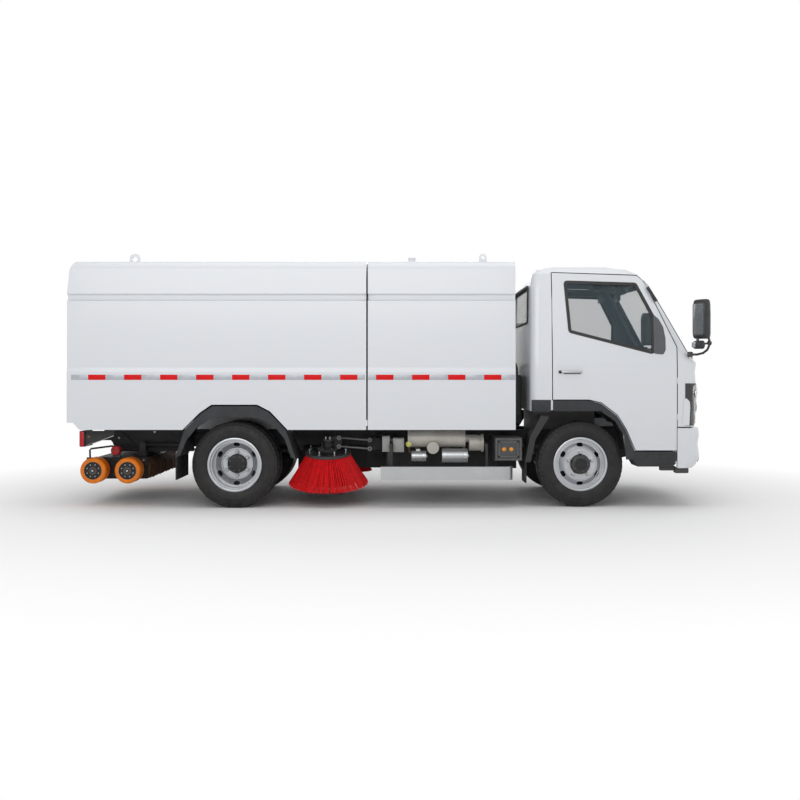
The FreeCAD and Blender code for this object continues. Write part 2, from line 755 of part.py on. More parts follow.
def leaf_pack(middle, span, eye_z, seat_z):
    """Three leaves clamped to an axle, with eyes and the hangers that hold them to the rail."""
    y0 = SPRING_Y - SPRING_WIDTH / 2.0
    y1 = SPRING_Y + SPRING_WIDTH / 2.0
    half = span / 2.0
    pieces = []
    for leaf in range(3):
        reach = half * (1.0 - 0.24 * leaf)
        drop = leaf * LEAF_THICKNESS
        sag = (eye_z - seat_z) * (reach / half) ** 2
        top = [V(middle - reach, y0, seat_z + sag - drop), V(middle, y0, seat_z - drop),
               V(middle + reach, y0, seat_z + sag - drop)]
        low = [p + V(0, 0, -LEAF_THICKNESS - 0.5) for p in top]
        wire = Part.Wire([
            Part.Arc(top[0], top[1], top[2]).toShape(),
            Part.LineSegment(top[2], low[2]).toShape(),
            Part.Arc(low[2], low[1], low[0]).toShape(),
            Part.LineSegment(low[0], top[0]).toShape(),
        ])
        pieces.append(Part.Face(wire).extrude(Y_DIR * (y1 - y0)))
    for s in (-1.0, 1.0):
        ex = middle + s * half
        pieces.append(bar_y(ex, eye_z, y0, y1, SPRING_EYE_RADIUS))
        pieces.append(side_prism([
            (ex - 34.0, RAIL_BOTTOM_Z - SEAT_GAP),
            (ex + 34.0, RAIL_BOTTOM_Z - SEAT_GAP),
            (ex + 18.0, eye_z - 18.0),
            (ex - 18.0, eye_z - 18.0),
        ], y0 + 6.0, y1 - 6.0))
    return fuse(pieces)


def front_axle_beam():
    """Forged beam, dropped between the springs, with a boss for each kingpin."""
    low = BEAM_DROP_Z - BEAM_HEIGHT / 2.0
    high = BEAM_DROP_Z + BEAM_HEIGHT / 2.0
    top = TYRE_RADIUS + BEAM_HEIGHT / 2.0
    web = end_prism([
        (-KINGPIN_Y, TYRE_RADIUS - BEAM_HEIGHT / 2.0),
        (-KINGPIN_Y + 60.0, TYRE_RADIUS - BEAM_HEIGHT / 2.0),
        (-460.0, low),
        (460.0, low),
        (KINGPIN_Y - 60.0, TYRE_RADIUS - BEAM_HEIGHT / 2.0),
        (KINGPIN_Y, TYRE_RADIUS - BEAM_HEIGHT / 2.0),
        (KINGPIN_Y, top),
        (KINGPIN_Y - 80.0, top),
        (440.0, high),
        (-440.0, high),
        (-KINGPIN_Y + 80.0, top),
        (-KINGPIN_Y, top),
    ], FRONT_AXLE_X - BEAM_WIDTH / 2.0, FRONT_AXLE_X + BEAM_WIDTH / 2.0)
    bosses = []
    for side in (1.0, -1.0):
        y = side * KINGPIN_Y
        bosses.append(Part.makeCylinder(BEAM_WIDTH / 2.0, BEAM_HEIGHT,
                                        V(FRONT_AXLE_X, y, TYRE_RADIUS - BEAM_HEIGHT / 2.0)))
    beam = fuse([web] + bosses)
    for side in (1.0, -1.0):
        bore = Part.makeCylinder(KINGPIN_RADIUS + PIN_GAP, 4.0 * BEAM_HEIGHT,
                                 V(FRONT_AXLE_X, side * KINGPIN_Y, TYRE_RADIUS - 2.0 * BEAM_HEIGHT))
        beam = beam.cut(bore)
    return beam


def knuckle(side):
    """Steering knuckle: yoke round the beam's boss, kingpin, spindle and brake drum backing."""
    y = side * KINGPIN_Y
    x = FRONT_AXLE_X
    gap = BEAM_HEIGHT / 2.0 + 5.0
    yoke = []
    for s in (-1.0, 1.0):
        z0 = TYRE_RADIUS + (gap if s > 0 else -gap - 24.0)
        yoke.append(Part.makeCylinder(36.0, 24.0, V(x, y, z0)))
        yoke.append(box(x - 30.0, x + 30.0, y, y + side * STEER_YOKE_HALF, z0, z0 + 24.0))
    back_y = KINGPIN_Y + BEAM_WIDTH / 2.0 + 8.0
    web = box(x - 42.0, x + 42.0, side * back_y, side * (back_y + 16.0),
              TYRE_RADIUS - gap - 24.0, TYRE_RADIUS + gap + 24.0)
    pin = Part.makeCylinder(KINGPIN_RADIUS, 2.0 * gap + 30.0, V(x, y, TYRE_RADIUS - gap - 15.0))
    spindle_end = FRONT_TYRE_OUTER_Y - FRONT_DISC_OUT - DISC_THICKNESS + 4.0
    spindle = bar_y(x, TYRE_RADIUS, side * back_y, side * spindle_end, SPINDLE_RADIUS)
    drum = lathe_y([
        (back_y + 14.0, SPINDLE_RADIUS - 2.0),
        (back_y + 14.0, DRUM_RADIUS),
        (back_y + 14.0 + DRUM_DEPTH * 0.6, DRUM_RADIUS),
        (back_y + 14.0 + DRUM_DEPTH * 0.6, SPINDLE_RADIUS - 2.0),
    ], x, TYRE_RADIUS, side)
    return fuse(yoke + [web, pin, spindle, drum])


def rear_axle_housing():
    """Banjo housing with its round middle, axle tubes, brake drums and spring seats."""
    inner_face = REAR_TYRE_OUTER_Y - DUAL_SPACING - TYRE_WIDTH
    hub_end = REAR_TYRE_OUTER_Y - REAR_DISC_OUT - 2.0 * DISC_THICKNESS - SEAT_GAP - 3.0
    tube = bar_y(REAR_AXLE_X, TYRE_RADIUS, -hub_end, hub_end, AXLE_TUBE_RADIUS)
    tube = tube.cut(bar_y(REAR_AXLE_X, TYRE_RADIUS, hub_end - 90.0, hub_end + 1.0, 300.0))
    tube = tube.cut(bar_y(REAR_AXLE_X, TYRE_RADIUS, -hub_end - 1.0, -hub_end + 90.0, 300.0))
    spindle = bar_y(REAR_AXLE_X, TYRE_RADIUS, -hub_end - 22.0, hub_end + 22.0, HUB_BORE_RADIUS - PIN_GAP)
    middle = Part.makeSphere(DIFF_RADIUS, V(REAR_AXLE_X, 0, TYRE_RADIUS))
    middle = middle.common(box(REAR_AXLE_X - 220.0, REAR_AXLE_X + 220.0, -DIFF_WIDTH / 2.0,
                               DIFF_WIDTH / 2.0, TYRE_RADIUS - DIFF_RADIUS, TYRE_RADIUS + DIFF_RADIUS))
    nose = rod(V(REAR_AXLE_X + 100.0, 0, TYRE_RADIUS), V(REAR_AXLE_X + AXLE_NOSE, 0, TYRE_RADIUS), 62.0)
    pieces = [tube, spindle, middle, nose]
    for side in (1.0, -1.0):
        pieces.append(bar_y(REAR_AXLE_X, TYRE_RADIUS, side * (inner_face + 20.0),
                            side * (inner_face + 110.0), 158.0))
        seat_top = REAR_SEAT_Z - LEAF_PACK - SEAT_GAP
        pieces.append(box(REAR_AXLE_X - 52.0, REAR_AXLE_X + 52.0, side * (SPRING_Y - 34.0),
                          side * (SPRING_Y + 34.0), TYRE_RADIUS, seat_top))
    return fuse(pieces)


def propeller_shaft():
    """Shaft from the gearbox to the rear axle, with a joint at each end."""
    start = V(REAR_AXLE_X + AXLE_NOSE + SEAT_GAP, 0, TYRE_RADIUS)
    end = V(ahead(ENGINE_REAR) - SEAT_GAP, 0, ENGINE_BOTTOM_Z + GEARBOX_HEIGHT / 2.0)
    reach = X_DIR * 60.0
    shaft = rod(start + reach, end - reach, 34.0)
    first = rod(start, start + reach * 1.2, 52.0)
    last = rod(end - reach * 1.2, end, 52.0)
    return fuse([shaft, first, last])


def engine_blocks():
    """The driving engine with its gearbox between the rails, and the fan's own engine."""
    drive = box(ahead(ENGINE_REAR + 500.0), ahead(ENGINE_FRONT), -ENGINE_HALF_WIDTH, ENGINE_HALF_WIDTH,
                ENGINE_BOTTOM_Z, ENGINE_TOP_Z)
    gearbox = box(ahead(ENGINE_REAR), ahead(ENGINE_REAR + 501.0), -150.0, 150.0, ENGINE_BOTTOM_Z,
                  ENGINE_BOTTOM_Z + GEARBOX_HEIGHT)
    mount = box(ahead(ENGINE_REAR + 700.0), ahead(ENGINE_REAR + 800.0), -RAIL_INNER_Y + SEAT_GAP,
                RAIL_INNER_Y - SEAT_GAP, ENGINE_BOTTOM_Z + 40.0, ENGINE_BOTTOM_Z + 100.0)
    fan = box(ahead(FAN_ENGINE_REAR), ahead(FAN_ENGINE_FRONT), -FAN_ENGINE_HALF_WIDTH,
              FAN_ENGINE_HALF_WIDTH, HOPPER_FLOOR_Z + SEAT_GAP, FAN_ENGINE_TOP_Z)
    return [fuse([drive, gearbox, mount]), fan]


# Box

def box_hull(x0, x1):
    """Solid outside form of the box between two places along the truck."""
    outer = BOX_HALF_WIDTH
    upper = outer - BOX_STEP_DEPTH
    deep = upper - GROOVE_DEPTH
    right = [
        (outer, BOX_BOTTOM_Z),
        (outer, BOX_STEP_LOW_Z),
        (upper, BOX_STEP_HIGH_Z),
        (upper, GROOVE_LOW_Z),
        (deep, GROOVE_LOW_Z + GROOVE_BEVEL),
        (deep, GROOVE_HIGH_Z - GROOVE_BEVEL),
        (upper, GROOVE_HIGH_Z),
    ]
    shoulder_z = BOX_TOP_Z - BOX_SHOULDER
    bend = BOX_SHOULDER * (1.0 - math.sqrt(0.5))
    left = [(-y, z) for y, z in right]
    points = [V(x0, y, z) for y, z in right]
    other = [V(x0, y, z) for y, z in left]
    edges = [Part.LineSegment(a, b).toShape() for a, b in zip(points, points[1:])]
    last = V(x0, upper, shoulder_z)
    edges.append(Part.LineSegment(points[-1], last).toShape())
    top_right = V(x0, upper - BOX_SHOULDER, BOX_TOP_Z)
    mid_right = V(x0, upper - bend, BOX_TOP_Z - bend)
    edges.append(Part.Arc(last, mid_right, top_right).toShape())
    top_left = V(x0, -top_right.y, BOX_TOP_Z)
    edges.append(Part.LineSegment(top_right, top_left).toShape())
    mid_left = V(x0, -mid_right.y, mid_right.z)
    end_left = V(x0, -upper, shoulder_z)
    edges.append(Part.Arc(top_left, mid_left, end_left).toShape())
    back = [end_left] + other[::-1]
    edges.extend(Part.LineSegment(a, b).toShape() for a, b in zip(back, back[1:]))
    edges.append(Part.LineSegment(other[0], points[0]).toShape())
    return Part.Face(Part.Wire(edges)).extrude(X_DIR * (x1 - x0))


def arch_pocket(growth):
    """Room for both rear wheels and their arch, this much larger than the arch all round."""
    outline = []
    centre_z = TYRE_RADIUS
    for a, z in ARCH_OUTLINE:
        away = math.hypot(a, z - centre_z)
        scale = (away + growth) / away
        outline.append((ahead(a * scale), centre_z + (z - centre_z) * scale))
    outline = [(outline[0][0], 300.0)] + outline + [(outline[-1][0], 300.0)]
    room = side_prism(outline, ARCH_INNER_Y - growth, BOX_HALF_WIDTH + 50.0)
    return Part.makeCompound(both_sides(room))


def hopper_shell():
    """Tipping hopper: walls, roof, front wall, floor and sills, with the rear left open."""
    x0 = ahead(-REAR_OVERHANG)
    x1 = ahead(BOX_SEAM - BOX_SEAM_GAP / 2.0)
    hull = box_hull(x0, x1)
    slope = side_prism([
        (x0 - 1.0, REAR_SLOPE_LOW_Z - 200.0),
        (x0, REAR_SLOPE_LOW_Z - 200.0),
        (x0 + REAR_SLOPE_MID, REAR_SLOPE_LOW_Z),
        (x0 + REAR_SLOPE_TOP, BOX_TOP_Z + 1.0),
        (x0 - 1.0, BOX_TOP_Z + 1.0),
    ], -1100.0, 1100.0)
    hull = hull.cut(slope)
    under = side_prism([
        (x0 - 1.0, BOX_BOTTOM_Z - 1.0),
        (x0 + HOPPER_REAR_STEP, BOX_BOTTOM_Z - 1.0),
        (x0 + HOPPER_REAR_STEP - 55.0, HOPPER_REAR_STEP_Z),
        (x0 - 1.0, HOPPER_REAR_STEP_Z),
    ], -1100.0, 1100.0)
    hull = hull.cut(under)
    skirt_y = BOX_HALF_WIDTH - BOX_WALL
    hull = hull.cut(box(x0 - 1.0, x1 + 1.0, -skirt_y, skirt_y, BOX_BOTTOM_Z - 1.0, HOPPER_FLOOR_Z))
    hull = hull.cut(arch_pocket(14.0))
    inner_y = BOX_HALF_WIDTH - BOX_STEP_DEPTH - GROOVE_DEPTH - BOX_WALL
    room = box(x0 + TAILGATE_THICKNESS, x1 - BOX_WALL, -inner_y, inner_y,
               HOPPER_FLOOR_Z + HOPPER_FLOOR_WALL, BOX_TOP_Z - BOX_WALL)
    room = room.cut(arch_pocket(14.0 + BOX_WALL))
    mouth = box(x0 - 1.0, x0 + TAILGATE_THICKNESS + 60.0, -TAILGATE_HALF_WIDTH - MOVE_GAP,
                TAILGATE_HALF_WIDTH + MOVE_GAP, HOPPER_FLOOR_Z + HOPPER_FLOOR_WALL,
                TAILGATE_HINGE_Z + 44.0)
    hull = hull.cut(room).cut(mouth)
    sills = []
    sill_low = RAIL_BOTTOM_Z + RAIL_HEIGHT + 5.0
    for side in (1.0, -1.0):
        y0 = side * RAIL_INNER_Y
        y1 = side * (RAIL_INNER_Y + RAIL_FLANGE - 1.0)
        px = ahead(TIP_PIVOT)
        sill = side_prism([
            (px - 40.0, HOPPER_FLOOR_Z + 2.0),
            (px - 40.0, TIP_PIVOT_Z - 30.0),
            (px - 16.0, sill_low),
            (x1 - 60.0, sill_low),
            (x1 - 30.0, HOPPER_FLOOR_Z + 2.0),
        ], y0, y1)
        sill = sill.cut(bar_y(px, TIP_PIVOT_Z, y0 - side * 1.0, y1 + side * 1.0, TIP_PIN_RADIUS + PIN_GAP))
        sills.append(sill)
    ears = []
    eye_x = ahead(CYLINDER_EYE)
    for side in (1.0, -1.0):
        for s in (-1.0, 1.0):
            edge = side * CYLINDER_Y + s * (EYE_WIDTH / 2.0 + 14.0)
            ears.append(side_prism([
                (eye_x - 60.0, HOPPER_FLOOR_Z + 2.0),
                (eye_x - 26.0, CYLINDER_EYE_Z - 26.0),
                (eye_x + 26.0, CYLINDER_EYE_Z - 26.0),
                (eye_x + 60.0, HOPPER_FLOOR_Z + 2.0),
            ], edge - 6.0, edge + 6.0))
    lugs = []
    hinge_x = ahead(-REAR_OVERHANG) + TAILGATE_HINGE_IN
    for side in (1.0, -1.0):
        lugs.append(lifting_lug(ahead(LUG_REAR), side * LUG_Y, 50.0, LUG_BORE_RADIUS))
        lugs.append(bar_y(hinge_x, TAILGATE_HINGE_Z, side * (TAILGATE_HALF_WIDTH - 40.0),
                          side * (TAILGATE_HALF_WIDTH + MOVE_GAP + 2.0), TAILGATE_PIN_RADIUS))
    inlet_x = ahead(DUCT_AHEAD)
    sleeve_low = DUCT_TOP_Z - INLET_LAP
    sleeve_height = HOPPER_FLOOR_Z + 2.0 - sleeve_low
    sleeve = Part.makeCylinder(INLET_RADIUS + INLET_WALL, sleeve_height, V(inlet_x, 0, sleeve_low))
    bore = Part.makeCylinder(INLET_RADIUS, 400.0, V(inlet_x, 0, sleeve_low - 100.0))
    return fuse([hull, sleeve] + sills + ears + lugs).cut(bore)


def lifting_lug(x, y, half_length, bore_radius):
    """Plate lug with a hole across the truck, standing on the roof."""
    crown = LUG_TOP_Z - BOX_TOP_Z - half_length
    centre_z = BOX_TOP_Z + crown
    plate = fuse([
        box(x - half_length, x + half_length, y - 8.0, y + 8.0, BOX_TOP_Z - 2.0, centre_z),
        bar_y(x, centre_z, y - 8.0, y + 8.0, half_length),
    ])
    return plate.cut(bar_y(x, centre_z, y - 20.0, y + 20.0, bore_radius))


def tailgate():
    """Flat rear door with pressed ribs, hung inside the hopper's rear frame."""
    x0 = ahead(-REAR_OVERHANG) + 4.0
    x1 = x0 + TAILGATE_THICKNESS - 8.0
    z0 = HOPPER_FLOOR_Z + HOPPER_FLOOR_WALL + MOVE_GAP
    z1 = TAILGATE_HINGE_Z + 14.0
    half = TAILGATE_HALF_WIDTH
    slab = box(x0, x1, -half, half, z0, z1)
    slab = slab.cut(side_prism([
        (x0 - 1.0, REAR_SLOPE_LOW_Z - 210.0),
        (x0, REAR_SLOPE_LOW_Z - 210.0),
        (x0 + REAR_SLOPE_MID, REAR_SLOPE_LOW_Z),
        (x0 - 1.0, REAR_SLOPE_LOW_Z),
    ], -half - 1.0, half + 1.0))
    for z in (1080.0, 1340.0, 1600.0):
        slab = slab.cut(box(x0 - 1.0, x0 + 12.0, -half + 90.0, half - 90.0, z, z + 150.0))
    hinge_x = ahead(-REAR_OVERHANG) + TAILGATE_HINGE_IN
    for side in (1.0, -1.0):
        slab = slab.cut(bar_y(hinge_x, TAILGATE_HINGE_Z, side * (half - 46.0), side * (half + 10.0),
                              TAILGATE_PIN_RADIUS + PIN_GAP))
    return slab


def front_compartment():
    """Fixed compartment on the rails, with the roof hatch and the front lifting lugs."""
    x0 = ahead(BOX_SEAM + BOX_SEAM_GAP / 2.0)
    x1 = ahead(BOX_FRONT)
    hull = box_hull(x0, x1)
    skirt_y = BOX_HALF_WIDTH - BOX_WALL
    hull = hull.cut(box(x0 - 1.0, x1 + 1.0, -skirt_y, skirt_y, BOX_BOTTOM_Z - 1.0,
                        HOPPER_FLOOR_Z - HOPPER_FLOOR_WALL))
    inner_y = BOX_HALF_WIDTH - BOX_STEP_DEPTH - GROOVE_DEPTH - BOX_WALL
    room = box(x0 + BOX_WALL, x1 - BOX_WALL, -inner_y, inner_y, HOPPER_FLOOR_Z, BOX_TOP_Z - BOX_WALL)
    hull = hull.cut(room)
    pieces = [hull]
    rail_top = RAIL_BOTTOM_Z + RAIL_HEIGHT
    for side in (1.0, -1.0):
        pieces.append(box(x0, x1, side * RAIL_INNER_Y, side * (RAIL_INNER_Y + RAIL_FLANGE),
                          rail_top, HOPPER_FLOOR_Z - HOPPER_FLOOR_WALL + 2.0))
        pieces.append(lifting_lug(ahead(LUG_FRONT), side * LUG_Y, 34.0, 14.0))
    hatch_x = ahead(HATCH_AHEAD)
    pieces.append(Part.makeCone(HATCH_RADIUS, HATCH_RADIUS - 26.0, HATCH_HEIGHT + 2.0,
                                V(hatch_x, HATCH_Y, BOX_TOP_Z - 2.0)))
    fitting = rod(V(hatch_x, HATCH_Y, BOX_TOP_Z), V(hatch_x, HATCH_Y, BOX_TOP_Z + HATCH_HEIGHT + 44.0), 34.0)
    pieces.append(fitting)
    return fuse(pieces)


# Tip cylinder

def tip_direction():
    """Base and eye of the tip cylinders, in the middle plane."""
    start = V(ahead(CYLINDER_BASE), 0, CYLINDER_BASE_Z)
    end = V(ahead(CYLINDER_EYE), 0, CYLINDER_EYE_Z)
    return start, end


def cylinder_barrels():
    """Two tip cylinder barrels on their base pins."""
    start, end = tip_direction()
    along = (end - start).normalize()
    pieces = []
    for y in (CYLINDER_Y, -CYLINDER_Y):
        shift = V(0, y, 0)
        eye = bar_y(start.x, start.z, y - EYE_WIDTH / 2.0, y + EYE_WIDTH / 2.0, EYE_RADIUS)
        neck = rod(start + shift + along * EYE_PIN_RADIUS, start + shift + along * 60.0, BARREL_NECK_RADIUS)
        body = rod(start + shift + along * BARREL_START, end + shift - along * 130.0, BARREL_RADIUS)
        solid = fuse([eye, neck, body])
        bore = bar_y(start.x, start.z, y - 60.0, y + 60.0, EYE_PIN_RADIUS + PIN_GAP)
        hollow = rod(start + shift + along * 60.0, end + shift, ROD_RADIUS + PIN_GAP)
        pieces.append(solid.cut(bore).cut(hollow))
    return pieces


def cylinder_rods():
    """Two tip cylinder rods with their upper eyes."""
    start, end = tip_direction()
    along = (end - start).normalize()
    pieces = []
    for y in (CYLINDER_Y, -CYLINDER_Y):
        shift = V(0, y, 0)
        stem = rod(start + shift + along * 66.0, end + shift, ROD_RADIUS)
        eye = bar_y(end.x, end.z, y - EYE_WIDTH / 2.0, y + EYE_WIDTH / 2.0, EYE_RADIUS)
        solid = fuse([stem, eye])
        pieces.append(solid.cut(bar_y(end.x, end.z, y - 60.0, y + 60.0, EYE_PIN_RADIUS + 1.0)))
    return pieces


# Cab

def plan_wire(z, front, bow, half, rear, inset):
    """Closed plan outline of the cab at one height, moved in by inset on every side."""
    xf = ahead(front) - inset
    xr = ahead(rear) + inset
    hw = half - inset
    rc = CAB_CORNER
    rr = CAB_REAR_CORNER
    k = 1.0 - math.sqrt(0.5)
    p = [
        V(xr, -hw + rr, z),
        V(xr + rr, -hw, z),
        V(xf - rc, -hw, z),
        V(xf, -hw + rc, z),
        V(xf, hw - rc, z),
        V(xf - rc, hw, z),
        V(xr + rr, hw, z),
        V(xr, hw - rr, z),
    ]
    edges = [
        Part.Arc(p[0], V(xr + k * rr, -hw + k * rr, z), p[1]).toShape(),
        Part.LineSegment(p[1], p[2]).toShape(),
        Part.Arc(p[2], V(xf - k * rc, -hw + k * rc, z), p[3]).toShape(),
        Part.Arc(p[3], V(xf + bow, 0, z), p[4]).toShape(),
        Part.Arc(p[4], V(xf - k * rc, hw - k * rc, z), p[5]).toShape(),
        Part.LineSegment(p[5], p[6]).toShape(),
        Part.Arc(p[6], V(xr + k * rr, hw - k * rr, z), p[7]).toShape(),
        Part.LineSegment(p[7], p[0]).toShape(),
    ]
    return Part.Wire(edges)


def cab_form(inset, drop=0.0):
    """Solid of the cab's outside form, moved in by inset; drop lowers its open bottom."""
    wires = []
    last = len(CAB_SECTIONS) - 1
    for i, (z, front, bow, half, rear) in enumerate(CAB_SECTIONS):
        level = z
        if i == 0:
            level = z - drop
        elif i >= last - 2:
            level = z - inset
        wires.append(plan_wire(level, front, bow, half, rear, inset))
    return Part.makeLoft(wires, True, True)


def door_prism(growth, side):
    """The door's side outline, grown all round, through one side of the cab."""
    corners = [V(x, 0, z) for x, z in shifted(DOOR_OUTLINE)]
    wire = Part.makePolygon(corners + corners[:1])
    if growth:
        wire = wire.makeOffset2D(growth)
    face = Part.Face(wire)
    face.translate(Y_DIR * (side * DOOR_PRISM_INNER_Y))
    return face.extrude(Y_DIR * (side * 300.0))


def door_hinge(z, side):
    """Centre of one hinge knuckle, in the shut line ahead of the door."""
    return V(ahead(DOOR_FRONT + DOOR_GAP / 2.0), side * (CAB_HALF_WIDTH + DOOR_HINGE_OUT), z)


def hinge_knuckle(z, side):
    """The door's half of a hinge."""
    at = door_hinge(z, side)
    barrel = Part.makeCylinder(HINGE_RADIUS, HINGE_HEIGHT, at)
    tab = box(at.x - DOOR_GAP / 2.0 - 3.0, at.x, at.y - side * HINGE_RADIUS, at.y, z, z + HINGE_HEIGHT)
    return barrel.fuse(tab).cut(Part.makeCylinder(HINGE_PIN_RADIUS + PIN_GAP, HINGE_HEIGHT, at))


def hinge_pin(z, side):
    """The cab's half of a hinge: a pin held at both ends."""
    at = door_hinge(z, side)
    pieces = [Part.makeCylinder(HINGE_PIN_RADIUS, HINGE_HEIGHT + 16.0, at - Z_DIR * 8.0)]
    for z0 in (z - 8.0, z + HINGE_HEIGHT + 2.0):
        pieces.append(box(at.x - HINGE_PIN_RADIUS, at.x + DOOR_GAP / 2.0 + 3.0, at.y - side * HINGE_RADIUS,
                          at.y + side * HINGE_PIN_RADIUS, z0, z0 + 6.0))
    return fuse(pieces)


def window_prism(side):
    """Through-cut of a door window, with rounded corners."""
    low = side * 600.0
    return rounded_side_prism(shifted(WINDOW_OUTLINE), WINDOW_CORNER, low, low + side * 400.0)


def side_pane(side):
    """Flat slab just inside the cab's side, cut to the door's window."""
    sections = [(z, half - GLASS_INSET) for z, _, _, half, _ in CAB_SECTIONS]
    outline = [V(0, side * half, z) for z, half in sections]
    outline += [V(0, side * (half - GLASS_THICKNESS), z) for z, half in reversed(sections)]
    slab = Part.Face(Part.makePolygon(outline + outline[:1])).extrude(X_DIR * OVERALL_LENGTH / 2.0)
    return window_prism(side).common(slab)


def screen_prism():
    """Through-cut of the windscreen."""
    return end_prism([
        (-SCREEN_BOTTOM_HALF, SCREEN_BOTTOM_Z),
        (SCREEN_BOTTOM_HALF, SCREEN_BOTTOM_Z),
        (SCREEN_TOP_HALF, SCREEN_TOP_Z),
        (-SCREEN_TOP_HALF, SCREEN_TOP_Z),
    ], ahead(3400.0), ahead(4400.0))


def backlight_prism():
    """Through-cut of the cab's rear window."""
    return end_prism([
        (-BACKLIGHT_HALF, BACKLIGHT_BOTTOM_Z),
        (BACKLIGHT_HALF, BACKLIGHT_BOTTOM_Z),
        (BACKLIGHT_HALF - 20.0, BACKLIGHT_TOP_Z),
        (-BACKLIGHT_HALF + 20.0, BACKLIGHT_TOP_Z),
    ], ahead(CAB_REAR - 50.0), ahead(CAB_REAR + 200.0))


def cab_floor(room):
    """Stepped floor: over the wheels and engine, down the seat box, with a step well at each door."""
    under = FOOT_FLOOR_Z - FLOOR_THICKNESS
    profile = shifted([
        (CAB_REAR, 852.0),
        (2720.0, 852.0),
        (2860.0, 868.0),
        (3215.0, 868.0),
        (3348.0, 780.0),
        (3376.0, under),
        (4200.0, under),
        (4200.0, FOOT_FLOOR_Z),
        (SEAT_BOX_FRONT, FOOT_FLOOR_Z),
        (SEAT_BOX_FRONT, SEAT_FLOOR_Z),
        (CAB_REAR, SEAT_FLOOR_Z),
    ])
    floor = side_prism(profile, -1000.0, 1000.0)
    tunnel = side_prism(shifted([
        (CAB_REAR - 50.0, 700.0),
        (CAB_REAR - 50.0, SEAT_FLOOR_Z - FLOOR_THICKNESS),
        (SEAT_BOX_FRONT - FLOOR_THICKNESS, SEAT_FLOOR_Z - FLOOR_THICKNESS),
        (SEAT_BOX_FRONT - FLOOR_THICKNESS, 700.0),
    ]), -TUNNEL_HALF_WIDTH, TUNNEL_HALF_WIDTH)
    floor = floor.cut(tunnel)
    wells = []
    for side in (1.0, -1.0):
        wheel_wall = side_prism(shifted([
            (3338.0, 787.0),
            (3418.0, 660.0),
            (3448.0, CAB_BOTTOM_Z),
            (3448.0 + FLOOR_THICKNESS, CAB_BOTTOM_Z),
            (3458.0, 668.0),
            (3388.0, 787.0),
        ]), side * STEP_INNER_Y, side * 1000.0)
        rear = ahead(3448.0)
        front = ahead(BUMPER_REAR - 6.0)
        plate = box(rear, front, side * STEP_INNER_Y, side * 1000.0, CAB_BOTTOM_Z,
                    CAB_BOTTOM_Z + FLOOR_THICKNESS)
        riser = box(rear, front, side * STEP_INNER_Y, side * (STEP_INNER_Y + FLOOR_THICKNESS), CAB_BOTTOM_Z,
                    under + 2.0)
        toe = box(front - FLOOR_THICKNESS, front, side * STEP_INNER_Y, side * 1000.0, CAB_BOTTOM_Z,
                  under + 2.0)
        opening = box(ahead(3460.0), front - FLOOR_THICKNESS, side * (STEP_INNER_Y + FLOOR_THICKNESS),
                      side * 1000.0, under - 1.0, FOOT_FLOOR_Z + 1.0)
        floor = floor.cut(opening)
        wells.extend([wheel_wall, plate, riser, toe])
    return fuse([floor] + wells).common(room)


def cab_shell(outer, inner):
    """Hollow cab with its window, door and wheel openings, floor and steps."""
    shell = outer.cut(inner)
    room = cab_form(CAB_WALL - 1.0, 1.0)
    shell = shell.fuse(cab_floor(room))
    shell = shell.cut(side_prism(shifted(WHEELHOUSE), -1000.0, 1000.0))
    nose = box(ahead(BUMPER_REAR - 4.0), ahead(4400.0), -1000.0, 1000.0, CAB_BOTTOM_Z - 20.0,
               BUMPER_TOP_Z + NOSE_GAP)
    shell = shell.cut(nose)
    core = cab_form(CAB_WALL + DOOR_GAP, 1.0)
    for side in (1.0, -1.0):
        shell = shell.cut(door_prism(DOOR_GAP, side).cut(core))
    shell = shell.cut(screen_prism()).cut(backlight_prism())
    for side in (1.0, -1.0):
        lamp = box(ahead(LAMP_REAR), ahead(4400.0), side * (LAMP_INNER_Y - SEAT_GAP), side * 1000.0,
                   LAMP_BOTTOM_Z - SEAT_GAP, LAMP_TOP_Z + SEAT_GAP)
        shell = shell.cut(lamp)
    pivots = []
    px = ahead(CAB_TILT_X)
    for side in (1.0, -1.0):
        bracket = side_prism([
            (px - 110.0, FOOT_FLOOR_Z - FLOOR_THICKNESS + 2.0),
            (px - 36.0, CAB_TILT_Z - 32.0),
            (px + 26.0, CAB_TILT_Z - 32.0),
            (px + 30.0, FOOT_FLOOR_Z - FLOOR_THICKNESS + 2.0),
        ], side * (CAB_PIVOT_Y), side * (CAB_PIVOT_Y + 26.0))
        bracket = bracket.cut(bar_y(px, CAB_TILT_Z, side * (CAB_PIVOT_Y - 5.0),
                                    side * (CAB_PIVOT_Y + 40.0), CAB_PIN_RADIUS + PIN_GAP))
        pivots.append(bracket)
    pins = [hinge_pin(z, side) for z in HINGE_LEVELS for side in (1.0, -1.0)]
    return fuse([shell] + pivots + pins)


def door(outer, inner, side):
    """Hollow door cut from the cab's own form, with its window opening."""
    slab = outer.cut(inner).common(door_prism(0.0, side))
    slab = slab.cut(window_prism(side))
    return fuse([slab] + [hinge_knuckle(z, side) for z in HINGE_LEVELS])


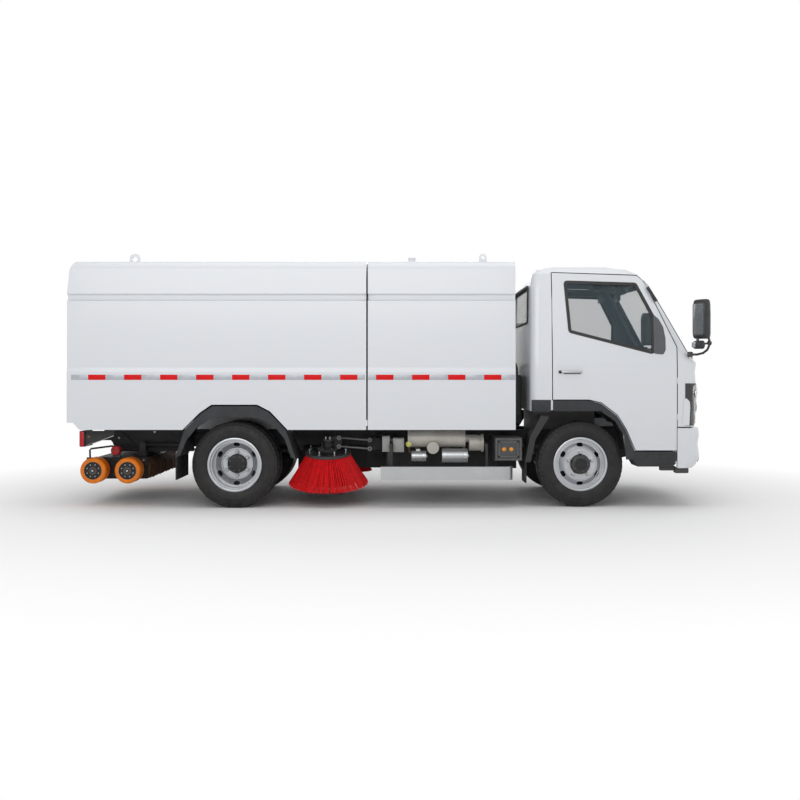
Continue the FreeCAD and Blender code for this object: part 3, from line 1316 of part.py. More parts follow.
def front_bumper():
    """Wrap-round bumper with two soft ridges and the slot for the lower grille."""
    z0 = BUMPER_BOTTOM_Z
    front_most = WHEELBASE + FRONT_OVERHANG - BUMPER_BOW
    levels = (
        (z0, front_most - 62.0, BUMPER_BOW - 9.0),
        (z0 + 24.0, front_most - 34.0, BUMPER_BOW),
        (z0 + 70.0, front_most - 10.0, BUMPER_BOW),
        (460.0, front_most, BUMPER_BOW),
        (560.0, front_most - 12.0, BUMPER_BOW),
        (640.0, front_most, BUMPER_BOW),
        (BUMPER_TOP_Z, front_most - 8.0, BUMPER_BOW),
    )
    outer = []
    inner = []
    for z, front, bow in levels:
        outer.append(plan_wire(z, front, bow, BUMPER_HALF_WIDTH, 3500.0, 0.0))
        inner.append(plan_wire(z, front, bow, BUMPER_HALF_WIDTH, 3500.0, BUMPER_WALL))
    shell = Part.makeLoft(outer, True, True).cut(Part.makeLoft(inner, True, True))
    shell = shell.common(box(ahead(BUMPER_REAR), ahead(4400.0), -1000.0, 1000.0, z0, BUMPER_TOP_Z))
    grille = box(ahead(4000.0), ahead(4400.0), -420.0, 420.0, 420.0, 520.0)
    shell = shell.cut(grille)
    stays = []
    for side in (1.0, -1.0):
        stays.append(box(ahead(4062.0), ahead(4112.0), side * 500.0, side * 560.0, BUMPER_TOP_Z - 90.0,
                         BUMPER_TOP_Z + NOSE_GAP - SEAT_GAP))
    return fuse([shell] + stays)


def headlamps(outer):
    """Tall lamps that wrap round the cab's front corners."""
    core = cab_form(-3.0)
    back = cab_form(CAB_WALL, 1.0)
    lamp = box(ahead(LAMP_REAR) + SEAT_GAP, ahead(4400.0), -1000.0, -LAMP_INNER_Y, LAMP_BOTTOM_Z, LAMP_TOP_Z)
    right = core.cut(back).common(lamp)
    return both_sides(right)


def lower_trim():
    """Black sill step under each door and the flare round each front wheel opening."""
    sill = side_prism(shifted([
        (SILL_REAR - 60.0, SILL_TOP_Z),
        (SILL_FRONT, SILL_TOP_Z),
        (SILL_FRONT, SILL_BOTTOM_Z + 26.0),
        (SILL_FRONT - 30.0, SILL_BOTTOM_Z),
        (SILL_REAR + 20.0, SILL_BOTTOM_Z),
    ]), -896.0, -640.0)
    tread = box(ahead(SILL_REAR + 10.0), ahead(SILL_FRONT - 20.0), -870.0, -620.0, SILL_BOTTOM_Z + 20.0,
                SILL_TOP_Z + 1.0)
    sill = sill.cut(tread.common(box(ahead(SILL_REAR + 14.0), ahead(SILL_FRONT - 24.0), -868.0, -660.0,
                                     SILL_BOTTOM_Z + 22.0, SILL_TOP_Z + 2.0)))
    hanger = box(ahead(SILL_REAR + 10.0), ahead(SILL_FRONT - 20.0), -664.0, -640.0, SILL_TOP_Z - 2.0,
                 CAB_BOTTOM_Z - SEAT_GAP)
    outer_edge = [
        (2801.0, 946.0),
        (3118.0, 946.0),
        (3224.0, 918.0),
        (3363.0, 810.0),
        (3441.0, 688.0),
        (3519.0, 500.0),
        (3519.0, 425.0),
    ]
    inner_edge = [
        (3444.0, 425.0),
        (3424.0, 640.0),
        (3350.0, 760.0),
        (3220.0, 852.0),
        (2801.0, 852.0),
    ]
    flare = side_prism(shifted(outer_edge + inner_edge), -906.0, -900.5)
    return both_sides(fuse([sill, hanger])) + both_sides(flare)


def mudguards():
    """Black rear arches over the twin tyres and the bands behind the front wheels."""
    inner = []
    centre_z = TYRE_RADIUS
    for a, z in ARCH_OUTLINE:
        away = math.hypot(a, z - centre_z)
        scale = (away - ARCH_THICKNESS) / away
        inner.append((a * scale, centre_z + (z - centre_z) * scale))
    band = side_prism(shifted(list(ARCH_OUTLINE) + inner[::-1]), -ARCH_OUTER_Y, -ARCH_INNER_Y)
    lip = side_prism(shifted(list(ARCH_OUTLINE) + list(ARCH_LIP_INNER)[::-1]), -ARCH_OUTER_Y,
                     -ARCH_OUTER_Y + ARCH_LIP_THICKNESS)
    band = band.fuse(lip)
    stay_z = RAIL_BOTTOM_Z + 100.0
    stays = []
    for a in (-448.0, 474.0):
        rail_y = -(RAIL_INNER_Y + RAIL_FLANGE + SEAT_GAP)
        stays.append(bar_y(ahead(a), stay_z, rail_y, -ARCH_INNER_Y - 20.0, 15.0))
    rear = fuse([band] + stays)
    front_band = side_prism(shifted([
        (2770.0, 800.0),
        (2700.0, 815.0),
        (2600.0, 620.0),
        (2556.0, 400.0),
        (2606.0, 400.0),
        (2650.0, 600.0),
    ]), -880.0, -600.0)
    front_stay = bar_y(ahead(2615.0), 560.0, -(RAIL_INNER_Y + RAIL_FLANGE + SEAT_GAP), -620.0, 15.0)
    return both_sides(rear) + both_sides(fuse([front_band, front_stay]))


def mud_flaps():
    """Flaps behind the front and rear wheels of each side."""
    rear = box(ahead(-508.0), ahead(-496.0), -ARCH_OUTER_Y + 6.0, -ARCH_INNER_Y - 6.0, 253.0, 449.5)
    front = box(ahead(2560.0), ahead(2572.0), -872.0, -610.0, 215.0, 400.0 - SEAT_GAP)
    return both_sides(rear) + both_sides(front)


def seats():
    """Driver's seat and the double seat beside it."""
    pieces = []
    floor = SEAT_FLOOR_Z + SEAT_GAP
    for y0, y1 in ((230.0, 720.0), (-720.0, -250.0), (-240.0, 210.0)):
        cushion = box(ahead(2880.0), ahead(3400.0), y0, y1, floor, floor + 125.0)
        back = side_prism(shifted([
            (2800.0, floor + 60.0),
            (2900.0, floor + 60.0),
            (2860.0, floor + 640.0),
            (2770.0, floor + 640.0),
        ]), y0, y1)
        rest = side_prism(shifted([
            (2772.0, floor + 660.0),
            (2840.0, floor + 660.0),
            (2828.0, floor + 820.0),
            (2764.0, floor + 820.0),
        ]), (y0 + y1) / 2.0 - 130.0, (y0 + y1) / 2.0 + 130.0)
        post = box(ahead(2795.0), ahead(2815.0), (y0 + y1) / 2.0 - 60.0, (y0 + y1) / 2.0 + 60.0,
                   floor + 600.0, floor + 700.0)
        pieces.append(fuse([cushion, back, rest, post]))
    return pieces


def dashboard():
    """Dashboard across the cab with the steering column and wheel on the left."""
    room = cab_form(CAB_WALL + SEAT_GAP, 1.0)
    slab = side_prism(shifted([
        (3640.0, DASH_LOW_Z),
        (3600.0, DASH_TOP_Z - 90.0),
        (3660.0, DASH_TOP_Z),
        (4200.0, DASH_TOP_Z),
        (4200.0, DASH_LOW_Z),
    ]), -1000.0, 1000.0).common(room)
    door_room = 900.0 - CAB_WALL - MOVE_GAP
    for side in (-1.0, 1.0):
        slab = slab.cut(box(ahead(3000.0), ahead(3905.0), side * door_room, side * 1000.0, 900.0, 1400.0))
    centre = V(ahead(STEERING_WHEEL[0]), STEERING_WHEEL[1], STEERING_WHEEL[2])
    tilt = math.radians(STEERING_TILT_DEG)
    axis = V(-math.cos(tilt), 0, math.sin(tilt))
    column = rod(centre - axis * COLUMN_LENGTH, centre, COLUMN_RADIUS)
    wheel = Part.makeTorus(STEERING_WHEEL_RADIUS, WHEEL_RING_RADIUS, centre, axis)
    hub = rod(centre - axis * 20.0, centre + axis * 18.0, WHEEL_HUB_RADIUS)
    spoke = rod(centre - Y_DIR * STEERING_WHEEL_RADIUS, centre + Y_DIR * STEERING_WHEEL_RADIUS, SPOKE_RADIUS)
    return fuse([slab, column, wheel, hub, spoke])


def mirrors():
    """Tall mirror housing over a small wide-angle one, on a bent arm from the pillar's foot."""
    xr = ahead(MIRROR_REAR)
    xf = ahead(MIRROR_FRONT)
    shell = plan_prism([
        (xr, -MIRROR_OUTER_Y + 12.0),
        (xr + 60.0, -MIRROR_OUTER_Y),
        (xf - 30.0, -MIRROR_OUTER_Y + 24.0),
        (xf, -(MIRROR_OUTER_Y + MIRROR_INNER_Y) / 2.0),
        (xf - 30.0, -MIRROR_INNER_Y - 20.0),
        (xr + 60.0, -MIRROR_INNER_Y),
        (xr, -MIRROR_INNER_Y - 12.0),
    ], MIRROR_BOTTOM_Z, MIRROR_TOP_Z)
    low = plan_prism([
        (xr, -MIRROR_OUTER_Y + 20.0),
        (xf - 60.0, -MIRROR_OUTER_Y + 30.0),
        (xf - 50.0, -MIRROR_INNER_Y - 30.0),
        (xr, -MIRROR_INNER_Y - 20.0),
    ], MIRROR_LOW_BOTTOM_Z, MIRROR_LOW_TOP_Z)
    foot, ball, joint = [V(ahead(a), -y, z) for a, y, z in (MIRROR_FOOT, MIRROR_BEND, MIRROR_HEAD)]
    link_x = xr + 40.0
    arm = [
        rod(foot, ball, MIRROR_ARM_RADIUS),
        rod(ball, joint, MIRROR_ARM_RADIUS),
        Part.makeSphere(22.0, ball),
        rod(foot - V(0, -26.0, 0), foot + V(0, -30.0, 0), 26.0),
        rod(V(link_x, ball.y, MIRROR_LOW_TOP_Z - 20.0), V(link_x, ball.y, MIRROR_BOTTOM_Z + 20.0), 12.0),
    ]
    solid = fuse([shell, low] + arm)
    solid = solid.cut(cab_form(0.0).fuse(cab_form(-SEAT_GAP)))
    return both_sides(solid)


# Side brushes

def tilt_brush(shape, side):
    """Lean the brush outward about its own centre."""
    centre = V(ahead(BRUSH_AHEAD), side * BRUSH_Y, BRUSH_TIP_Z)
    turned = shape.copy()
    turned.rotate(centre, X_DIR, -side * BRUSH_TILT_DEG)
    return turned


def brush(side):
    """Round brush: disc with a ring of flared tufts."""
    x = ahead(BRUSH_AHEAD)
    y = side * BRUSH_Y
    top = BRUSH_TIP_Z + BRUSH_HEIGHT
    disc = Part.makeCylinder(BRUSH_DISC_RADIUS, BRUSH_DISC_THICKNESS, V(x, y, top - BRUSH_DISC_THICKNESS))
    pieces = [disc]
    step = 360.0 / BRUSH_TUFTS
    root = BRUSH_DISC_RADIUS - 12.0
    half_root = root * math.sin(math.radians(step / 2.0)) * 0.86
    half_tip = BRUSH_TIP_RADIUS * math.sin(math.radians(step / 2.0)) * 0.86
    tip = BRUSH_TIP_RADIUS * math.cos(math.radians(step / 2.0)) - 4.0
    upper = top - BRUSH_DISC_THICKNESS + 6.0
    for i in range(BRUSH_TUFTS):
        head = Part.makePolygon([
            V(x + root - BRUSH_TUFT_DEPTH / 2.0, y - half_root, upper),
            V(x + root, y - half_root, upper),
            V(x + root, y + half_root, upper),
            V(x + root - BRUSH_TUFT_DEPTH / 2.0, y + half_root, upper),
            V(x + root - BRUSH_TUFT_DEPTH / 2.0, y - half_root, upper),
        ])
        foot = Part.makePolygon([
            V(x + tip - BRUSH_TUFT_DEPTH, y - half_tip, BRUSH_TIP_Z),
            V(x + tip, y - half_tip, BRUSH_TIP_Z),
            V(x + tip, y + half_tip, BRUSH_TIP_Z),
            V(x + tip - BRUSH_TUFT_DEPTH, y + half_tip, BRUSH_TIP_Z),
            V(x + tip - BRUSH_TUFT_DEPTH, y - half_tip, BRUSH_TIP_Z),
        ])
        tuft = Part.makeLoft([head, foot], True, True)
        tuft.rotate(V(x, y, 0), Z_DIR, step * i)
        pieces.append(tuft)
    solid = fuse(pieces)
    bore = Part.makeCylinder(SWING_POST_RADIUS + PIN_GAP, 200.0, V(x, y, top - 100.0))
    return tilt_brush(solid.cut(bore), side)


def brush_head(side):
    """Motor on a plate above the disc, with the lug that the two links hold."""
    x = ahead(BRUSH_AHEAD)
    y = side * BRUSH_Y
    top = BRUSH_TIP_Z + BRUSH_HEIGHT
    shaft = rod(V(x, y, top - BRUSH_DISC_THICKNESS + 2.0), V(x, y, top + 30.0), SWING_POST_RADIUS)
    plate = Part.makeCylinder(MOTOR_PLATE_RADIUS, MOTOR_PLATE_THICKNESS, V(x, y, top + MOVE_GAP))
    motor = Part.makeCylinder(MOTOR_RADIUS, MOTOR_HEIGHT, V(x, y, top + MOVE_GAP))
    body = tilt_brush(fuse([shaft, plate, motor]), side)
    rear_low, rear_high = link_ends(side)[1:4:2]
    lug = side_prism([
        (x - 10.0, rear_low.z + 4.0),
        (rear_low.x - 20.0, rear_low.z - 26.0),
        (rear_low.x + 22.0, rear_low.z - 20.0),
        (rear_high.x + 22.0, rear_high.z + 20.0),
        (rear_high.x - 22.0, rear_high.z + 22.0),
        (x - 10.0, rear_low.z + 70.0),
    ], y - 7.0, y + 7.0)
    pins = []
    for end in (rear_low, rear_high):
        outer = end.y + side * (ARM_EYE_WIDTH / 2.0 + 2.0)
        pins.append(bar_y(end.x, end.z, y, outer, ARM_PIN_RADIUS))
    return fuse([body, lug] + pins)


def link_ends(side):
    """Front and rear pin centres of the lower and the upper link."""
    y = side * (BRUSH_Y + 7.0 + MOVE_GAP + ARM_EYE_WIDTH / 2.0)
    run = math.sqrt(ARM_LENGTH ** 2 - ARM_RISE ** 2)
    front_low = V(ahead(ARM_FRONT), y, ARM_FRONT_Z)
    rear_low = front_low + V(-run, 0, ARM_RISE)
    up = V(0, 0, ARM_SPACING_Z)
    return front_low, rear_low, front_low + up, rear_low + up


def link(front, rear):
    """Round link with an eye at each end."""
    half = ARM_EYE_WIDTH / 2.0
    pieces = [rod(front, rear, ARM_RADIUS)]
    for end in (front, rear):
        pieces.append(bar_y(end.x, end.z, end.y - half, end.y + half, ARM_EYE_RADIUS))
    solid = fuse(pieces)
    for end in (front, rear):
        bore = bar_y(end.x, end.z, end.y - half - 5.0, end.y + half + 5.0, ARM_PIN_RADIUS + PIN_GAP)
        solid = solid.cut(bore)
    return solid


def brush_swing(side):
    """Swinging bracket: sleeve round the frame's post and the plate with both front pins."""
    front_low, _, front_high, _ = link_ends(side)
    px = ahead(SWING_POST)
    py = side * SWING_POST_Y
    sleeve = Part.makeCylinder(30.0, 120.0, V(px, py, ARM_FRONT_Z - 20.0))
    inner_y = side * (BRUSH_Y - 7.0)
    outer_y = side * (BRUSH_Y + 7.0)
    web = box(px - 24.0, px + 20.0, py, outer_y, ARM_FRONT_Z, ARM_FRONT_Z + 80.0)
    plate = side_prism([
        (front_low.x - 22.0, front_low.z - 20.0),
        (px + 20.0, front_low.z - 10.0),
        (px + 20.0, front_high.z + 16.0),
        (front_high.x - 22.0, front_high.z + 20.0),
    ], inner_y, outer_y)
    pins = []
    for end in (front_low, front_high):
        outer = end.y + side * (ARM_EYE_WIDTH / 2.0 + 2.0)
        pins.append(bar_y(end.x, end.z, inner_y, outer, ARM_PIN_RADIUS))
    solid = fuse([sleeve, web, plate] + pins)
    return solid.cut(Part.makeCylinder(SWING_POST_RADIUS + PIN_GAP, 300.0, V(px, py, ARM_FRONT_Z - 90.0)))


def brush_posts():
    """Brackets on the rails with the upright posts that the brushes swing on."""
    px = ahead(SWING_POST)
    low = ARM_FRONT_Z - 20.0 - MOVE_GAP
    high = ARM_FRONT_Z + 100.0 + MOVE_GAP
    post = Part.makeCylinder(SWING_POST_RADIUS, high - low + 20.0, V(px, SWING_POST_Y, low - 10.0))
    rail_y = RAIL_INNER_Y + RAIL_FLANGE + SEAT_GAP
    arms = []
    for z in (low - 14.0, high):
        arms.append(box(px - 34.0, px + 34.0, rail_y, SWING_POST_Y + 34.0, z, z + 14.0))
    back = box(px - 34.0, px + 34.0, rail_y, rail_y + 12.0, low - 14.0, high + 14.0)
    return both_sides(fuse([post, back] + arms))


# Suction nozzle

def nozzle():
    """Open-bottomed box with its suction mouth, side plates, roller axles and pull lugs."""
    x0 = ahead(NOZZLE_REAR)
    x1 = ahead(NOZZLE_FRONT)
    half = NOZZLE_HALF_WIDTH
    hull = side_prism([
        (x0, NOZZLE_BOTTOM_Z),
        (x1, NOZZLE_BOTTOM_Z),
        (x1, NOZZLE_TOP_Z - 60.0),
        (x1 - 60.0, NOZZLE_TOP_Z),
        (x0 + 80.0, NOZZLE_TOP_Z),
        (x0, NOZZLE_TOP_Z - 70.0),
    ], -half, half)
    wall = NOZZLE_WALL
    room = side_prism([
        (x0 + wall, NOZZLE_BOTTOM_Z - 1.0),
        (x1 - wall, NOZZLE_BOTTOM_Z - 1.0),
        (x1 - wall, NOZZLE_TOP_Z - 64.0),
        (x1 - 64.0, NOZZLE_TOP_Z - wall),
        (x0 + 84.0, NOZZLE_TOP_Z - wall),
        (x0 + wall, NOZZLE_TOP_Z - 74.0),
    ], -half + wall, half - wall)
    dx = ahead(DUCT_AHEAD)
    duct = Part.makeCylinder(DUCT_RADIUS, DUCT_TOP_Z - NOZZLE_TOP_Z + 4.0, V(dx, 0, NOZZLE_TOP_Z - 4.0))
    bore = Part.makeCylinder(DUCT_RADIUS - DUCT_WALL, 400.0, V(dx, 0, NOZZLE_TOP_Z - 30.0))
    pieces = [hull.cut(room).fuse(duct).cut(bore)]
    for side in (1.0, -1.0):
        plate = side_prism([
            (x0, NOZZLE_BOTTOM_Z),
            (x1, NOZZLE_BOTTOM_Z),
            (x1, NOZZLE_TOP_Z),
            (x0, NOZZLE_TOP_Z),
        ], side * (half - 1.0), side * (half + 10.0))
        pieces.append(plate)
        inner = ROLLER_OUTER_Y - ROLLER_WIDTH
        for place in (ROLLER_REAR, ROLLER_FRONT):
            pieces.append(bar_y(ahead(place), ROLLER_Z, side * half, side * (ROLLER_OUTER_Y + 6.0),
                                ROLLER_AXLE_RADIUS))
            pieces.append(bar_y(ahead(place), ROLLER_Z, side * half, side * (inner - MOVE_GAP), 40.0))
        lug_x = ahead(PULL_REAR)
        y = side * PULL_Y
        for s in (-1.0, 1.0):
            edge = y + s * (PULL_EYE_WIDTH / 2.0 + MOVE_GAP + 5.0)
            pieces.append(side_prism([
                (lug_x - 50.0, NOZZLE_TOP_Z - 2.0),
                (lug_x - 24.0, PULL_Z + 24.0),
                (lug_x + 24.0, PULL_Z + 24.0),
                (lug_x + 24.0, NOZZLE_TOP_Z - 30.0),
            ], edge - 5.0, edge + 5.0))
        reach = PULL_EYE_WIDTH / 2.0 + MOVE_GAP + 8.0
        pieces.append(bar_y(lug_x, PULL_Z, y - reach, y + reach, PULL_PIN_RADIUS))
    return fuse(pieces)


def roller(place, side):
    """Solid-tyred roller with a dished face and a bored hub."""
    inner = ROLLER_OUTER_Y - ROLLER_WIDTH
    outer = ROLLER_OUTER_Y
    profile = [
        (inner, ROLLER_AXLE_RADIUS + PIN_GAP),
        (inner, ROLLER_RADIUS - 10.0),
        (inner + 10.0, ROLLER_RADIUS),
        (outer - 10.0, ROLLER_RADIUS),
        (outer, ROLLER_RADIUS - 10.0),
        (outer, ROLLER_HUB_RADIUS),
        (outer - 14.0, ROLLER_HUB_RADIUS - 6.0),
        (outer - 14.0, 36.0),
        (outer, 32.0),
        (outer, ROLLER_AXLE_RADIUS + PIN_GAP),
    ]
    return lathe_y(profile, ahead(place), ROLLER_Z, side)


def pull_arms():
    """Two trailing arms that pull the nozzle along and let it rise."""
    pieces = []
    for side in (1.0, -1.0):
        y = side * PULL_Y
        front = V(ahead(PULL_FRONT), y, PULL_Z)
        rear = V(ahead(PULL_REAR), y, PULL_Z)
        half = PULL_EYE_WIDTH / 2.0
        solids = [rod(front, rear, PULL_RADIUS)]
        for end in (front, rear):
            solids.append(bar_y(end.x, end.z, y - half, y + half, PULL_EYE_RADIUS))
        arm = fuse(solids)
        for end in (front, rear):
            arm = arm.cut(bar_y(end.x, end.z, y - half - 5.0, y + half + 5.0, PULL_PIN_RADIUS + PIN_GAP))
        pieces.append(arm)
    return pieces


def pull_brackets():
    """Forks on the rails' outer faces that hold the front ends of the pull arms."""
    pieces = []
    x = ahead(PULL_FRONT)
    for side in (1.0, -1.0):
        y = side * PULL_Y
        forks = []
        for s in (-1.0, 1.0):
            edge = y + s * (PULL_EYE_WIDTH / 2.0 + MOVE_GAP + 5.0)
            forks.append(side_prism([
                (x - 24.0, PULL_Z - 24.0),
                (x + 24.0, PULL_Z - 24.0),
                (x + 40.0, PULL_BRACKET_Z),
                (x - 40.0, PULL_BRACKET_Z),
            ], edge - 5.0, edge + 5.0))
        reach = PULL_EYE_WIDTH / 2.0 + MOVE_GAP + 8.0
        pin = bar_y(x, PULL_Z, y - reach, y + reach, PULL_PIN_RADIUS)
        rail_y = side * (RAIL_INNER_Y + RAIL_FLANGE + SEAT_GAP)
        bridge = box(x - 40.0, x + 40.0, rail_y, y + side * (reach + 2.0), PULL_BRACKET_Z - 2.0,
                     PULL_BRACKET_Z + 12.0)
        pieces.append(fuse(forks + [pin, bridge]))
    return pieces


# Lamps, boxes, tanks and guards

def rear_lamp_bar():
    """Lamp carrier across the rear with a tall lamp at each end and two stays to the rails."""
    x0 = ahead(LAMP_BAR_REAR)
    x1 = ahead(LAMP_BAR_FRONT)
    bar = box(x1, x1 + 12.0, -LAMP_BAR_HALF_WIDTH, LAMP_BAR_HALF_WIDTH, LAMP_BAR_BOTTOM_Z, LAMP_BAR_TOP_Z)
    pieces = [bar]
    for side in (1.0, -1.0):
        pieces.append(box(x0, x1 + 2.0, side * REAR_LAMP_INNER_Y, side * REAR_LAMP_OUTER_Y,
                          REAR_LAMP_BOTTOM_Z, REAR_LAMP_TOP_Z))
        pieces.append(side_prism([
            (x1 + 4.0, REAR_LAMP_TOP_Z),
            (ahead(LAMP_STAY_FRONT), REAR_LAMP_TOP_Z),
            (ahead(LAMP_STAY_FRONT), LAMP_BAR_TOP_Z),
            (x1 + 4.0, REAR_LAMP_BOTTOM_Z + 9.0),
        ], side * LAMP_STAY_Y, side * (LAMP_STAY_Y + LAMP_STAY_THICKNESS)))
        pieces.append(box(x1 + 10.0, ahead(RAIL_REAR) - SEAT_GAP, side * (RAIL_INNER_Y + 30.0),
                          side * (RAIL_INNER_Y + RAIL_FLANGE), LAMP_BAR_BOTTOM_Z, LAMP_BAR_TOP_Z - 20.0))
    return [fuse(pieces)]


def equipment_boxes():
    """Battery box at the front right and two valve boxes at the rear right, each on its arm."""
    rail_y = -(RAIL_INNER_Y + RAIL_FLANGE + SEAT_GAP)
    battery = box(ahead(BATTERY_REAR), ahead(BATTERY_FRONT), -BATTERY_OUTER_Y, -BATTERY_INNER_Y,
                  BATTERY_BOTTOM_Z, BATTERY_TOP_Z)
    arm = box(ahead(BATTERY_REAR + 60.0), ahead(BATTERY_FRONT - 60.0), -BATTERY_INNER_Y - 1.0, rail_y,
              SMALL_ARM_BOTTOM_Z - 20.0, SMALL_ARM_TOP_Z)
    pieces = [fuse([battery, arm])]
    valves = []
    for a0, a1, z0, z1 in VALVE_BOXES:
        valves.append(box(ahead(a0), ahead(a1), -VALVE_OUTER_Y, -VALVE_INNER_Y, z0, z1))
    first, second = VALVE_BOXES
    valves.append(box(ahead(first[1] - 1.0), ahead(second[0] + 1.0), -VALVE_INNER_Y - 60.0,
                      -VALVE_INNER_Y - 20.0, second[3] - 30.0, second[3] - 8.0))
    valves.append(box(ahead(second[0] + 20.0), ahead(second[1] - 20.0), -VALVE_INNER_Y - 1.0, rail_y,
                      SMALL_ARM_BOTTOM_Z, SMALL_ARM_TOP_Z))
    pieces.append(fuse(valves))
    return pieces


def muffler():
    """Muffler with its bands, tail pipe and rail stay, the drum filter ahead of it and the air inlet."""
    x0 = ahead(MUFFLER_REAR)
    x1 = ahead(MUFFLER_FRONT)
    body = rod(V(x0, -MUFFLER_Y, MUFFLER_Z), V(x1, -MUFFLER_Y, MUFFLER_Z), MUFFLER_RADIUS)
    rings = []
    for x in (x0 + 4.0, (x0 + x1) / 2.0, x1 - 16.0):
        rings.append(rod(V(x, -MUFFLER_Y, MUFFLER_Z), V(x + MUFFLER_BAND_WIDTH, -MUFFLER_Y, MUFFLER_Z),
                         MUFFLER_RADIUS + MUFFLER_BAND_RISE))
    tail = rod(V(x1 - 2.0, -MUFFLER_Y, MUFFLER_Z), V(x1 + 110.0, -MUFFLER_Y, MUFFLER_Z), TAIL_PIPE_RADIUS)
    stay = box(x0 + 150.0, x0 + 190.0, -MUFFLER_Y, -(RAIL_INNER_Y + RAIL_FLANGE + SEAT_GAP),
               MUFFLER_Z - 20.0, MUFFLER_Z + 20.0)
    filter_x = x1 + 35.0
    drum_end = V(filter_x + FILTER_LENGTH, -MUFFLER_Y, FILTER_Z)
    drum = rod(V(filter_x, -MUFFLER_Y, FILTER_Z), drum_end, FILTER_RADIUS)
    band = rod(drum_end, drum_end + X_DIR * FILTER_BAND_WIDTH, FILTER_RADIUS + FILTER_BAND_RISE)
    inlet = bar_y(x0 + 224.0, MUFFLER_Z - MUFFLER_RADIUS, -MUFFLER_Y - 105.0, -MUFFLER_Y + 20.0,
                  MUFFLER_INLET_RADIUS)
    return [fuse([body, tail, stay, drum, band, inlet] + rings)]


def air_tanks():
    """Small pressure tanks under the muffler, hung on one rail bracket each."""
    rail_y = -(RAIL_INNER_Y + RAIL_FLANGE + SEAT_GAP)
    pieces = []
    for a0, a1, z, radius in AIR_TANKS:
        tank = rod(V(ahead(a0), -AIR_TANK_Y, z), V(ahead(a1), -AIR_TANK_Y, z), radius)
        stay_x = ahead(a0 + 40.0)
        stay = box(stay_x, stay_x + AIR_STAY_WIDTH, -AIR_TANK_Y, rail_y, AIR_STAY_BOTTOM_Z, AIR_STAY_TOP_Z)
        riser = box(stay_x, stay_x + AIR_STAY_WIDTH, rail_y - 40.0, rail_y, AIR_STAY_BOTTOM_Z,
                    AIR_RISER_TOP_Z)
        pieces.append(fuse([tank, stay, riser]))
    return pieces


def fuel_tank():
    """Rounded tank with its filler neck and the two straps that hold it to the left rail."""
    x0 = ahead(TANK_REAR)
    x1 = ahead(TANK_FRONT)
    tank = box(x0, x1, TANK_INNER_Y, TANK_OUTER_Y, TANK_BOTTOM_Z, TANK_TOP_Z)
    edges = [e for e in tank.Edges if abs(e.tangentAt(e.FirstParameter).x) > 0.99]
    tank = tank.makeFillet(TANK_ROUNDING, edges)
    straps = []
    for x in (x0 + 130.0, x1 - 130.0 - TANK_STRAP_WIDTH):
        straps.append(box(x, x + TANK_STRAP_WIDTH, RAIL_INNER_Y + RAIL_FLANGE + SEAT_GAP, TANK_INNER_Y + 10.0,
                          TANK_TOP_Z - 100.0, TANK_TOP_Z - 20.0))
    filler = rod(V(x0 + 90.0, TANK_OUTER_Y - 80.0, TANK_TOP_Z - 20.0),
                 V(x0 + 90.0, TANK_OUTER_Y - 32.0, TANK_TOP_Z + 28.0), FILLER_NECK_RADIUS)
    return [fuse([tank, filler] + straps)]


def side_guards():
    """Bright guard rail low on each side, on two legs from the frame rail."""
    turn_x = ahead(GUARD_FRONT) - GUARD_END_RADIUS
    turn_y = -GUARD_OUTER_Y + GUARD_END_RADIUS
    outer = []
    back = []
    for i in range(GUARD_END_STEPS + 1):
        angle = math.pi / 2.0 * i / GUARD_END_STEPS
        thin = GUARD_END_RADIUS - GUARD_THICKNESS
        for radius, line in ((GUARD_END_RADIUS, outer), (thin, back)):
            line.append((turn_x + radius * math.sin(angle), turn_y - radius * math.cos(angle)))
    rear_end = [(ahead(GUARD_REAR), -GUARD_OUTER_Y + GUARD_THICKNESS), (ahead(GUARD_REAR), -GUARD_OUTER_Y)]
    outline = plan_prism(outer + back[::-1] + rear_end, GUARD_BOTTOM_Z, GUARD_TOP_Z)
    inner = -GUARD_OUTER_Y + GUARD_THICKNESS
    rail_y = -(RAIL_INNER_Y + RAIL_FLANGE + SEAT_GAP)
    pieces = [outline]
    half = GUARD_LEG_WIDTH / 2.0
    for a in GUARD_LEGS:
        x = ahead(a)
        pieces.append(box(x - half, x + half, inner - 1.0, inner + 30.0, GUARD_BOTTOM_Z + 30.0,
                          GUARD_LEG_TOP_Z))
        pieces.append(box(x - half, x + half, inner + 1.0, rail_y, GUARD_LEG_TOP_Z - GUARD_LEG_HEIGHT,
                          GUARD_LEG_TOP_Z))
    return both_sides(fuse(pieces))


